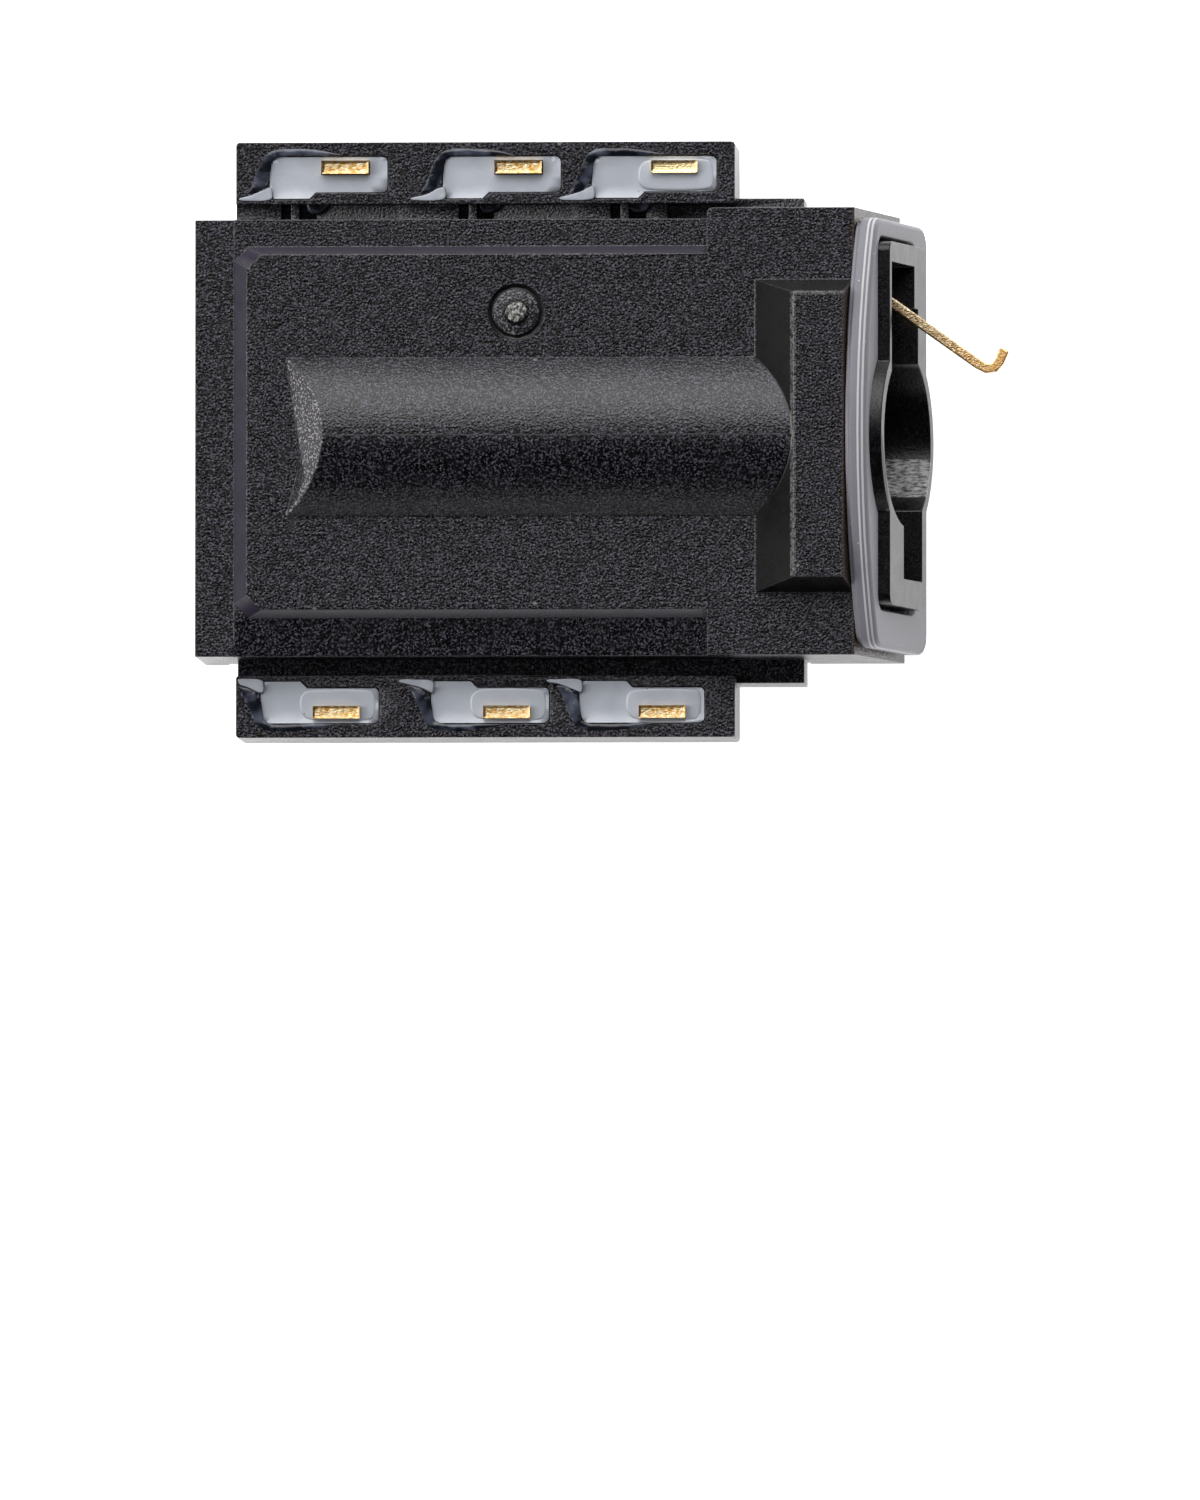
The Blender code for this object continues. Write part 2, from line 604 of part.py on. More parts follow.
def cut_gate_mark(housing):
    """The ring groove round the gate's vestige."""
    x = REAR_X + GATE_FROM_REAR
    floor = PLATEAU_HEIGHT - GATE_GROOVE_DEPTH
    top = PLATEAU_HEIGHT + OVERSHOOT
    ring = along_z("gate_ring", circle(x, GATE_FROM_AXIS, GATE_RADIUS), floor, top)
    island = circle(x, GATE_FROM_AXIS, GATE_RADIUS - GATE_GROOVE_WIDTH)
    cut(ring, along_z("gate_island", island, floor - OVERSHOOT, top + OVERSHOOT))
    cut(housing, ring)


def contacts():
    """Side, row name, pin position and well length of each contact."""
    for side, pins in ((LEFT, LEFT_PINS_FROM_REAR), (RIGHT, RIGHT_PINS_FROM_REAR)):
        side_name = "left" if side == LEFT else "right"
        for row_name, from_rear in zip(ROW_NAMES, pins):
            extra = WELL_FRONT_EXTRA if row_name == "front" else 0
            yield side, f"{side_name}_{row_name}", REAR_X + from_rear, WELL_BEHIND_PIN + extra


def add_housing(material):
    """The black moulding that carries everything."""
    housing = add_core("housing")
    join(housing, add_plateau())
    join(housing, add_full_width_block())
    join(housing, add_barrel())
    join(housing, add_collar())
    for side in (LEFT, RIGHT):
        join(housing, add_wing(side))
    fill_left_channel(housing)
    cut_right_border(housing)
    cut(housing, front_trim())
    nose = nose_outline()
    join(housing, loft("nose", [slanted(nose, -OVERSHOOT), slanted(nose, NOSE_LENGTH)]))
    cut_film_seat(housing)
    for side, _, pin_x, behind in contacts():
        cut_contact_space(housing, side, pin_x, behind)
    cut_bore(housing)
    cut_gate_mark(housing)
    return finish(housing, material)


def gasket_outline():
    """The gasket from the front: flat below, arched above, with rounded corners."""
    half = GASKET_HALF
    radius = (half ** 2 + GASKET_END_DROP ** 2) / (2 * GASKET_END_DROP)
    centre = GASKET_TOP - radius
    sweep = math.asin(half / radius)
    arc = []
    for k in range(GASKET_ARC_STEPS + 1):
        t = sweep * (1 - 2 * k / GASKET_ARC_STEPS)
        corner = GASKET_CORNER if k in (0, GASKET_ARC_STEPS) else 0
        arc.append((GASKET_OFFSET + radius * math.sin(t), centre + radius * math.cos(t), corner))
    bottom = [(GASKET_OFFSET - half, GASKET_BOTTOM, GASKET_CORNER),
              (GASKET_OFFSET + half, GASKET_BOTTOM, GASKET_CORNER)]
    return rounded(arc + bottom)


def add_gasket(material):
    """The ring on the slanted face, with a narrow neck at its rear and eased front edges."""
    outer = gasket_outline()
    neck = moved_out(outer, -GASKET_NECK_INSET)
    eased = moved_out(outer, -GASKET_EDGE)
    stations = [(SEAT_GAP, neck), (GASKET_NECK, neck), (GASKET_NECK + SEAT_GAP, outer),
                (GASKET_LENGTH - GASKET_EDGE, outer), (GASKET_LENGTH, eased)]
    gasket = loft("front_gasket", [slanted(points, offset) for offset, points in stations])
    hole = moved_out(nose_outline(), GASKET_GROOVE)
    cut(gasket, loft("gasket_hole", [slanted(hole, -OVERSHOOT), slanted(hole, OVERSHOOT)]))
    return finish(gasket, material)


def film_outline():
    """The film seen from below, with its wing parts and its U-shaped cut-out."""
    rear = REAR_X + SEAT_FROM_REAR + FILM_MARGIN
    front = REAR_X + SEAT_FROM_REAR + SEAT_LENGTH + SEAT_LEG_LENGTH - FILM_MARGIN
    wing_rear = REAR_X + FILM_WING_FROM_REAR
    wing_front = wing_rear + FILM_WING_LENGTH
    side = CORE_HALF - SEAT_SIDE_MARGIN - FILM_MARGIN
    wing = WING_HALF - FILM_WING_MARGIN
    cutout = REAR_X + FILM_CUTOUT_FROM_REAR
    gap = FILM_CUTOUT_WIDTH / 2
    radius = FILM_CORNER
    half = [(front, gap, radius / 2), (front, side, radius), (wing_front, side, radius / 2),
            (wing_front, wing, radius / 2), (wing_rear, wing, radius / 2),
            (wing_rear, side, radius), (rear, side, radius)]
    mirrored = [(x, -y, r) for x, y, r in reversed(half)]
    return rounded(half + mirrored + [(cutout, -gap, radius), (cutout, gap, radius)])


def add_film(material):
    """The film, which follows the underside from wing to wing."""
    upper = underside(SEAT_GAP, WING_HALF)
    lower = underside(SEAT_GAP + FILM_THICKNESS, WING_HALF)
    low, high = REAR_X, FOOT_X
    film = along_x("sealing_film", upper + lower[::-1], low, high)
    blank = along_z("film_blank", film_outline(), -OVERSHOOT, WING_BOTTOM + OVERSHOOT)
    combine(film, blank, "INTERSECT")
    return finish(film, material)


def add_resin(name, side, pin_x, behind, material):
    """The potting in one well, round its pin."""
    low, high = WELL_FLOOR + SEAT_GAP, WING_TOP - RESIN_BELOW_RIM
    resin = along_z(name, well_outline(side, pin_x, behind, SEAT_GAP), low, high)
    half = PIN_WIDTH / 2 + SEAT_GAP
    reach = PIN_THICKNESS / 2 + SEAT_GAP
    hole = box(pin_x - half, pin_x + half, *side_box(side, PIN_FROM_AXIS - reach, PIN_FROM_AXIS + reach))
    cut(resin, along_z("pin_hole", hole, low - OVERSHOOT, high + OVERSHOOT))
    return finish(resin, material)


def terminal_profile(side):
    """The folded strip seen along X: pin, foot and post."""
    pin_out = PIN_FROM_AXIS + PIN_THICKNESS / 2
    pin_in = PIN_FROM_AXIS - PIN_THICKNESS / 2
    post_out = POST_FROM_AXIS + STRIP_THICKNESS / 2
    post_in = POST_FROM_AXIS - STRIP_THICKNESS / 2
    pin_top = WING_TOP + PIN_STANDS_PROUD
    profile = [(pin_out, STRIP_BOTTOM), (pin_out, pin_top), (pin_in, pin_top),
               (pin_in, STRIP_TOP), (post_out, STRIP_TOP), (post_out, SPRING_TOP),
               (post_in, SPRING_TOP), (post_in, STRIP_BOTTOM)]
    return [(side * y, z) for y, z in profile]


def add_terminal(name, side, pin_x, material):
    """One fixed terminal, folded from strip."""
    half = PIN_WIDTH / 2
    return finish(along_x(name, terminal_profile(side), pin_x - half, pin_x + half), material)


def spring_path(side):
    """The spring's middle line from its hinge: it leans into the bore and flares out again."""
    lean = POST_FROM_AXIS - (BORE_RADIUS - SPRING_REACH + SPRING_THICKNESS / 2)
    path = []
    for k in range(SPRING_STEPS + 1):
        x = SPRING_LENGTH * k / SPRING_STEPS
        if x < SPRING_CREST:
            y = -lean * (1 - math.cos(math.pi * x / SPRING_CREST)) / 2
        else:
            y = -lean + SPRING_FLARE * ((x - SPRING_CREST) / (SPRING_LENGTH - SPRING_CREST)) ** 2
        path.append((x, side * y))
    return path


def add_spring(name, side, pin_x, material):
    """One contact leaf, its origin on the line that it flexes about."""
    start = SPRING_GAP
    path = [(start + x, y) for x, y in spring_path(side)]
    half = SPRING_HEIGHT / 2
    spring = along_z(name, ribbon(path, SPRING_THICKNESS), -half, half)
    spring.location = (pin_x + PIN_WIDTH / 2, side * POST_FROM_AXIS, AXIS_HEIGHT)
    return finish(spring, material)


def add_bent_contact(pin_x, material):
    """The torn contact: terminal and strip in one, out of the mouth and hooked back."""
    half = PIN_WIDTH / 2
    contact = along_x("contact_bent", terminal_profile(LEFT), pin_x - half, pin_x + half)
    path = [(REAR_X + x, SLOT_LEFT_REACH - inwards) for x, inwards in BENT_PATH]
    level = AXIS_HEIGHT + BENT_RISE
    low, high = level - BENT_HEIGHT / 2, level + BENT_HEIGHT / 2
    join(contact, along_z("strip", ribbon(path, BENT_THICKNESS), low, high))
    return finish(contact, material)


def main():
    clear_scene()
    black = make_material("black_moulding", (0.016, 0.016, 0.019), 0.45)
    film = make_material("film", (0.022, 0.022, 0.026), 0.4)
    silicone = make_material("grey_silicone", (0.30, 0.31, 0.34), 0.5)
    resin = make_material("milky_resin", (0.42, 0.45, 0.50), 0.3)
    gold = make_material("gold_plate", (0.80, 0.56, 0.22), 0.3, 1.0)
    dull_gold = make_material("worn_gold", (0.55, 0.42, 0.20), 0.45, 1.0)
    add_housing(black)
    add_gasket(silicone)
    add_film(film)
    for side, name, pin_x, behind in contacts():
        add_resin(f"resin_{name}", side, pin_x, behind, resin)
        if name == "left_front":
            add_bent_contact(pin_x, dull_gold)
        else:
            add_terminal(f"terminal_{name}", side, pin_x, gold)
            add_spring(f"spring_{name}", side, pin_x, gold)


main()
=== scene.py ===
# %% [markdown]
# # A sealed audio jack socket
#
# This lesson dresses a small connector: the sealed 3.5 mm headphone socket of a slim
# handheld device. It is 17 mm long with its bent contact, so everything here is tiny.
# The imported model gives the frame: the true solids, in metres, each riding on its body.
# The lesson keeps those sizes, softens the edges, lays the film, pours the resin and
# gives each surface its finish.

# %% Load the frame
import math
import random

import bpy
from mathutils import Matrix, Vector


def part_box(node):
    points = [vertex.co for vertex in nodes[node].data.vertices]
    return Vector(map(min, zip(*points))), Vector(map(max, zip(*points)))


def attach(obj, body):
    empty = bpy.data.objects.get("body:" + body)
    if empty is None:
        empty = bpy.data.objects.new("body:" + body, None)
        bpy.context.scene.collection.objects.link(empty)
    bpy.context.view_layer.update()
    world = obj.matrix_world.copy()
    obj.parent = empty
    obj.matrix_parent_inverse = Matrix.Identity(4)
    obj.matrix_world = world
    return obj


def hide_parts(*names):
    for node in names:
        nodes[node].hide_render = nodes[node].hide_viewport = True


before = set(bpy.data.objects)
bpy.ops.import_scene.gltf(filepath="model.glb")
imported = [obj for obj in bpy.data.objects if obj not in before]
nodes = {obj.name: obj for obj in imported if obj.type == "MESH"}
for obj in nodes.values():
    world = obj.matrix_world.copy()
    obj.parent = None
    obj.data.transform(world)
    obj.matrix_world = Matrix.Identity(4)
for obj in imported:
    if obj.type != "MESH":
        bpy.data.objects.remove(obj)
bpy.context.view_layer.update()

# %% [markdown]
# ## Sizes to work from
#
# A product this small is easier to read in millimetres, so one name turns them into
# metres. Places along the socket are counted from the housing's rear end, which the frame
# gives. The levels, the front slope and its foot repeat the sizes of the solids, so that
# a finish starts and ends where its face does.

# %% Sizes
MM = 0.001
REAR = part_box("housing")[0].x
AXIS_HEIGHT = 2.40 * MM
PLATEAU = 3.90 * MM
WING_TOP = 2.90 * MM
WING_REAR = REAR + 0.80 * MM
FRONT_SLOPE = math.tan(math.radians(12.8))
FOOT = REAR + 14.39 * MM
print("rear end at", round(REAR / MM, 2), "mm, foot of the front face at", round(FOOT / MM, 2), "mm")

# %% [markdown]
# ## The camera first
#
# The photograph looks down on the socket from far away with a long lens, a few degrees
# off straight, so the near side and the front face just show. An image of 1200 by 1500
# pixels holds 49 pixels to each millimetre at the plateau's level. The camera is placed
# from those numbers, so each region of the render can be compared with the photograph.
# A look-at constraint would do it too, but three axes built by hand keep +Y upright
# when the camera looks straight down.

# %% Camera
IMAGE_WIDTH, IMAGE_HEIGHT = 1200, 1500
PIXELS_PER_MM = 49.0
REAR_PIXEL, AXIS_PIXEL = 193, 436
LOOK_FROM_RIGHT = math.radians(2.7)
LOOK_FROM_NEAR = math.radians(2.6)
CAMERA_DISTANCE = 0.60
NEAREST_SEEN, FARTHEST_SEEN = 0.01, 10
SENSOR = 36.0

aim = Vector((
    REAR + (IMAGE_WIDTH / 2 - REAR_PIXEL) / PIXELS_PER_MM * MM,
    (AXIS_PIXEL - IMAGE_HEIGHT / 2) / PIXELS_PER_MM * MM,
    PLATEAU,
))
backward = Vector((math.tan(LOOK_FROM_RIGHT), -math.tan(LOOK_FROM_NEAR), 1)).normalized()
sideways = Vector((0, 1, 0)).cross(backward).normalized()
upward = backward.cross(sideways)
view_height = IMAGE_HEIGHT / PIXELS_PER_MM * MM

camera_data = bpy.data.cameras.new("camera")
camera_data.sensor_width = SENSOR
camera_data.lens = SENSOR * CAMERA_DISTANCE / view_height
camera_data.clip_start = NEAREST_SEEN
camera_data.clip_end = FARTHEST_SEEN
camera = bpy.data.objects.new("camera", camera_data)
bpy.context.scene.collection.objects.link(camera)
camera.location = aim + backward * CAMERA_DISTANCE
rotation = camera.rotation_euler.to_matrix()
rotation.col[0], rotation.col[1], rotation.col[2] = sideways, upward, backward
camera.rotation_euler = rotation.to_euler()
bpy.context.scene.camera = camera
print("lens", round(camera_data.lens), "mm at", CAMERA_DISTANCE, "m")

# %% [markdown]
# ## Node helpers
#
# A material is a small graph of nodes. A few helpers keep each graph short to read. The
# first ones add a node and set its values, start a shader node group with named sockets,
# place it in a material, and start a material with its Principled shader. Groups only put
# out masks and heights; the shader stays in the material, so an export can read it.

# %% Helpers for graphs
def add_node(tree, kind, inputs=None, **settings):
    """Add a node; inputs maps a socket's name or index to a value or to another socket."""
    node = tree.nodes.new(kind)
    for key, value in settings.items():
        setattr(node, key, value)
    for key, value in (inputs or {}).items():
        if isinstance(value, bpy.types.NodeSocket):
            tree.links.new(value, node.inputs[key])
        else:
            node.inputs[key].default_value = value
    return node


def start_group(name, inputs, outputs):
    """A shader node group; inputs maps names to defaults, outputs lists value sockets."""
    group = bpy.data.node_groups.new(name, "ShaderNodeTree")
    group.interface.new_socket("Vector", in_out="INPUT", socket_type="NodeSocketVector")
    for socket_name, default in inputs.items():
        socket = group.interface.new_socket(socket_name, in_out="INPUT", socket_type="NodeSocketFloat")
        socket.default_value = default
    for socket_name in outputs:
        group.interface.new_socket(socket_name, in_out="OUTPUT", socket_type="NodeSocketFloat")
    return group, group.nodes.new("NodeGroupInput"), group.nodes.new("NodeGroupOutput")


def use_group(tree, group, place, **values):
    """Place a group in a material, with its own values."""
    node = add_node(tree, "ShaderNodeGroup", {"Vector": place}, node_tree=group)
    for key, value in values.items():
        node.inputs[key.title()].default_value = value
    return node


def start_material(name, roughness, metallic=0.0):
    """A material with its Principled shader, and the object's own coordinates."""
    material = bpy.data.materials.new(name)
    material.use_nodes = True
    tree = material.node_tree
    shader = tree.nodes["Principled BSDF"]
    shader.inputs["Roughness"].default_value = roughness
    shader.inputs["Metallic"].default_value = metallic
    place = tree.nodes.new("ShaderNodeTexCoord").outputs["Object"]
    return material, tree, shader, place


print("helpers for graphs ready")

# %% [markdown]
# ## Values and colours
#
# The next helpers work on what flows through a graph. A noise gives cloudy values, a
# stretch raises their contrast, and a mix paints one colour over another by a mask.

# %% Helpers for values and colours
def math_node(tree, operation, first, second=0.0, third=0.0, clamp=False):
    """A Math node's output."""
    node = add_node(tree, "ShaderNodeMath", {0: first, 1: second, 2: third}, operation=operation)
    node.use_clamp = clamp
    return node.outputs[0]


def stretch(tree, value, gain, offset):
    """A value times a gain plus an offset, held between 0 and 1."""
    return math_node(tree, "MULTIPLY_ADD", value, gain, offset, clamp=True)


def rise(tree, value, start, end, top=1.0, shape="SMOOTHSTEP"):
    """A rise from 0 to its top, while a value goes from start to end."""
    return add_node(tree, "ShaderNodeMapRange", {
        "Value": value, "From Min": start, "From Max": end, "To Max": top},
        interpolation_type=shape).outputs["Result"]


def noise(tree, place, scale, detail=2.0, roughness=0.5, distortion=0.0):
    """A cloudy value; its scale is one over the clouds' size."""
    return add_node(tree, "ShaderNodeTexNoise", {
        "Vector": place, "Scale": scale, "Detail": detail, "Roughness": roughness,
        "Distortion": distortion}).outputs["Fac"]


def split(tree, place):
    """The X, Y and Z of a place."""
    parted = add_node(tree, "ShaderNodeSeparateXYZ", {"Vector": place})
    return [parted.outputs[axis] for axis in "XYZ"]


def distance(tree, place, point):
    """How far a place is from a point."""
    return add_node(tree, "ShaderNodeVectorMath", {0: place, 1: point}, operation="DISTANCE").outputs["Value"]


def scatter(tree, place, scale):
    """Random cells: how far a point lies from its cell's middle, and each cell's own value."""
    cells = add_node(tree, "ShaderNodeTexVoronoi", {"Vector": place, "Scale": scale})
    own = add_node(tree, "ShaderNodeSeparateColor", {"Color": cells.outputs["Color"]})
    return cells.outputs["Distance"], own.outputs[0]


def mix_colors(tree, mask, first, second):
    """A mix of two colours by a mask."""
    node = tree.nodes.new("ShaderNodeMix")
    node.data_type = "RGBA"
    for index, value in ((0, mask), (6, first), (7, second)):
        if isinstance(value, bpy.types.NodeSocket):
            tree.links.new(value, node.inputs[index])
        else:
            node.inputs[index].default_value = value
    return node.outputs[2]


def bump(tree, shader, height, depth):
    """Turn a height from 0 to 1 into a bump of a real depth in metres."""
    node = add_node(tree, "ShaderNodeBump", {"Distance": depth, "Height": height})
    tree.links.new(node.outputs["Normal"], shader.inputs["Normal"])


print("helpers for values ready")

# %% [markdown]
# ## Masks
#
# A mask is 1 where a finish belongs and 0 elsewhere. It asks where a point lies, and
# masks are joined as words are: under, over, between, near, both, either.

# %% Helpers for masks
def under(tree, value, limit):
    """1 where a value is less than a limit."""
    return math_node(tree, "LESS_THAN", value, limit)


def over(tree, value, limit):
    """1 where a value is more than a limit."""
    return math_node(tree, "GREATER_THAN", value, limit)


def both(tree, first, second):
    """Where two masks overlap."""
    return math_node(tree, "MULTIPLY", first, second)


def either(tree, first, second):
    """Where at least one mask is on."""
    return math_node(tree, "MAXIMUM", first, second)


def between(tree, value, low, high):
    """1 where a value lies between two limits."""
    return both(tree, over(tree, value, low), under(tree, value, high))


def near(tree, value, level, reach):
    """1 where a value lies within a reach of a level."""
    return between(tree, value, level - reach, level + reach)


print("helpers for masks ready")

# %% [markdown]
# ## A pale floor and soft light
#
# The socket lies on a white table. Black plastic shows mostly what it mirrors, so the
# light decides its look. The room is dim overhead, so flat faces stay near black. A soft
# panel behind, halfway up the sky, draws the bright half of the barrel, and each tilted
# grain catches a spark of it. A second one lights the faces that lean to the rear, and a
# weak one along the near horizon edges the near slopes. The table glows by itself only
# round the socket, so upright faces mirror white and faces at 45 degrees stay dark. The
# Standard view keeps black and white as deep and clean as the photograph has them.

# %% Floor
FLOOR_SIZE = 3.0
FLOOR_LEVEL = -0.02 * MM
FLOOR_COLOR = (0.85, 0.85, 0.86, 1)
FLOOR_ROUGHNESS = 0.8
FLOOR_GLOW = 1.0
GLOW_RADIUS = 30 * MM
GLOW_END = 70 * MM
FULL_GLOW, DIM_GLOW = (1, 1, 1, 1), (0.15, 0.15, 0.15, 1)

bpy.ops.object.select_all(action="DESELECT")
bpy.ops.mesh.primitive_plane_add(size=FLOOR_SIZE, location=(0, 0, FLOOR_LEVEL))
floor = bpy.context.active_object
floor.name = "floor"
floor_material, tree, shader, place = start_material("white_table", FLOOR_ROUGHNESS)
shader.inputs["Base Color"].default_value = FLOOR_COLOR
shader.inputs["Emission Strength"].default_value = FLOOR_GLOW
fade = rise(tree, distance(tree, place, (0, 0, 0)), GLOW_RADIUS, GLOW_END)
tree.links.new(mix_colors(tree, fade, FULL_GLOW, DIM_GLOW), shader.inputs["Emission Color"])
floor.data.materials.append(floor_material)
bpy.context.scene.view_settings.view_transform = "Standard"
print("floor", FLOOR_SIZE, "m wide, glowing", 2 * GLOW_RADIUS / MM, "mm round the socket")

# %% Sky with soft panels
SKY_GLOW = 0.03
SKY_COLOR = (1.0, 0.99, 1.0, 1)
# Each panel has a name, a direction, its match where it begins and where it is full, and a glow.
PANELS = (
    ("key", (-0.10, 0.76, 0.64), 0.76, 0.98, 3.9),
    ("rear", (-0.80, 0.10, 0.59), 0.90, 0.98, 4.6),
    ("near horizon", (0.0, -1.0, 0.0), 0.90, 1.0, 1.3),
)

world = bpy.data.worlds.new("soft_sky")
world.use_nodes = True
bpy.context.scene.world = world
sky = world.node_tree
sky_place = sky.nodes.new("ShaderNodeTexCoord").outputs["Generated"]
strength = SKY_GLOW
for panel_name, direction, begin, full, glow in PANELS:
    match = add_node(sky, "ShaderNodeVectorMath", {0: sky_place, 1: direction},
                     operation="DOT_PRODUCT", name=panel_name)
    strength = math_node(sky, "ADD", rise(sky, match.outputs["Value"], begin, full, glow), strength)
sky.links.new(strength, sky.nodes["Background"].inputs["Strength"])
sky.nodes["Background"].inputs["Color"].default_value = SKY_COLOR
print("panels:", [panel[0] for panel in PANELS])

# %% [markdown]
# ## Shared effects
#
# Three effects are shared by the materials. The moulding tool was spark-eroded, so its
# plastic shows an even grain, with grains about 0.05 mm across and a few shiny fibres.
# Handling rubs the sharpest edges pale. Dust and crumbs of flux lie on everything. Each
# effect is a node group that takes its sizes in metres, so a value reads like a ruler.

# %% Group: moulded grain
GRAIN_SIZE = 0.05 * MM
SALT_SCALE, PATCH_SCALE, SPARK_SCALE = 1.15, 0.12, 0.8
SALT_SHARE = 0.65
SPARK_RADIUS, SPARK_SHARE = 0.25, 0.35
FLECK_GAIN, FLECK_OFFSET = 13.0, -6.75


def by_size(tree, place, size):
    """Object coordinates divided by a size, so a texture of scale 1 repeats at that size."""
    inverse = math_node(tree, "DIVIDE", 1.0, size)
    return add_node(tree, "ShaderNodeVectorMath", {0: place, "Scale": inverse}, operation="SCALE").outputs[0]


group, group_in, group_out = start_group(
    "moulded_grain", {"Size": GRAIN_SIZE, "Smooth": 0.0}, ["Height", "Flecks", "Sparks", "Patches"])
grain_place = by_size(group, group_in.outputs["Vector"], group_in.outputs["Size"])
rough = math_node(group, "SUBTRACT", 1.0, group_in.outputs["Smooth"], clamp=True)
fine = noise(group, grain_place, 1.0, detail=1.5)
salt = noise(group, grain_place, SALT_SCALE, detail=1.0, distortion=0.3)
fleck = math_node(group, "ADD", math_node(group, "MULTIPLY", salt, SALT_SHARE),
                  math_node(group, "MULTIPLY", fine, 1 - SALT_SHARE))
from_middle, own_value = scatter(group, grain_place, SPARK_SCALE)
spark = both(group, under(group, from_middle, SPARK_RADIUS), under(group, own_value, SPARK_SHARE))
group.links.new(both(group, fine, rough), group_out.inputs["Height"])
crisp = stretch(group, fleck, FLECK_GAIN, FLECK_OFFSET)
group.links.new(both(group, crisp, rough), group_out.inputs["Flecks"])
group.links.new(both(group, spark, rough), group_out.inputs["Sparks"])
group.links.new(noise(group, grain_place, PATCH_SCALE), group_out.inputs["Patches"])
grain_group = group
print("group", grain_group.name)

# %% Group: rubbed edges
group, group_in, group_out = start_group(
    "rubbed_edges", {"Width": 0.04 * MM, "Patch Size": 0.5 * MM, "Amount": 1.0}, ["Wear"])
rounded = add_node(group, "ShaderNodeBevel", {"Radius": group_in.outputs["Width"]}, samples=4)
flat = group.nodes.new("ShaderNodeNewGeometry")
match = add_node(group, "ShaderNodeVectorMath", {
    0: rounded.outputs["Normal"], 1: flat.outputs["True Normal"]}, operation="DOT_PRODUCT")
on_edge = stretch(group, match.outputs["Value"], -5.0, 4.9)
patch_place = by_size(group, group_in.outputs["Vector"], group_in.outputs["Patch Size"])
in_patch = stretch(group, noise(group, patch_place, 1.0, detail=4.0, roughness=0.7), 3.0, -0.9)
worn = math_node(group, "MULTIPLY", both(group, on_edge, in_patch), group_in.outputs["Amount"])
group.links.new(worn, group_out.inputs["Wear"])
wear_group = group
print("group", wear_group.name)

# %% Group: dust specks
group, group_in, group_out = start_group("dust_specks", {"Size": 0.25 * MM, "Amount": 0.12}, ["Specks"])
dust_place = by_size(group, group_in.outputs["Vector"], group_in.outputs["Size"])
from_middle, own_value = scatter(group, dust_place, 1.0)
few = under(group, own_value, group_in.outputs["Amount"])
spot = stretch(group, from_middle, -14.0, 2.0)
group.links.new(both(group, few, spot), group_out.inputs["Specks"])
dust_group = group
print("group", dust_group.name)

# %% [markdown]
# ## Black moulding: where it is smooth
#
# One material covers the whole housing, and masks find its faces by their places. The
# plastic is satin with the grain. Where the tool was milled and polished, it is smooth:
# on the plateau's bevel, the front collar's slopes and the nose's end. The bore and the
# nose's sides are half smooth.

# %% Moulding: smooth faces
MASK_REACH = 0.03 * MM
BEVEL_FOOT, BEVEL_HEAD = PLATEAU - 0.24 * MM, PLATEAU - 0.015 * MM
BEVEL_FRONT = REAR + 10.4 * MM
COLLAR_REAR = REAR + 11.47 * MM
COLLAR_HALF = 3.20 * MM
COLLAR_RISE = 0.80 * MM
COLLAR_RUN = 0.82 * MM
COLLAR_SIDE_RUN = 0.30 * MM
PAD_TOP = PLATEAU + COLLAR_RISE
PAD_ROUNDING = 0.04 * MM
BORE_RADIUS = 1.80 * MM
BORE_REACH = 0.04 * MM
BORE_REAR = REAR + 2.6 * MM
NOSE_START, NOSE_END = FOOT + 0.10 * MM, FOOT + 0.66 * MM
HALF_SMOOTH = 0.75

black, tree, shader, place = start_material("black_moulding", 0.42)
shader.inputs["Specular IOR Level"].default_value = 0.46
x, y, z = split(tree, place)
climb = math_node(tree, "SUBTRACT", z, PLATEAU)
leaning = math_node(tree, "MULTIPLY_ADD", z, FRONT_SLOPE, x)
plateau_bevel = both(tree, between(tree, z, BEVEL_FOOT, BEVEL_HEAD), under(tree, x, BEVEL_FRONT))
slope_x = math_node(tree, "MULTIPLY_ADD", climb, -COLLAR_RUN / COLLAR_RISE, x)
slope_y = math_node(
    tree, "MULTIPLY_ADD", climb, COLLAR_SIDE_RUN / COLLAR_RISE, math_node(tree, "ABSOLUTE", y))
on_slope = either(tree, near(tree, slope_x, COLLAR_REAR, MASK_REACH),
                  near(tree, slope_y, COLLAR_HALF, MASK_REACH))
collar_slope = both(tree, on_slope, between(tree, z, PLATEAU + MASK_REACH, PAD_TOP - PAD_ROUNDING))
section = add_node(tree, "ShaderNodeCombineXYZ", {"Y": y, "Z": z}).outputs["Vector"]
from_axis = distance(tree, section, (0, 0, AXIS_HEIGHT))
bore_wall = both(tree, near(tree, from_axis, BORE_RADIUS, BORE_REACH), over(tree, x, BORE_REAR))
half_smooth = math_node(
    tree, "MULTIPLY", either(tree, bore_wall, over(tree, leaning, NOSE_START)), HALF_SMOOTH)
smooth = either(tree, either(tree, plateau_bevel, over(tree, leaning, NOSE_END)),
                either(tree, collar_slope, half_smooth))
print("material", black.name, "started, with its smooth faces")
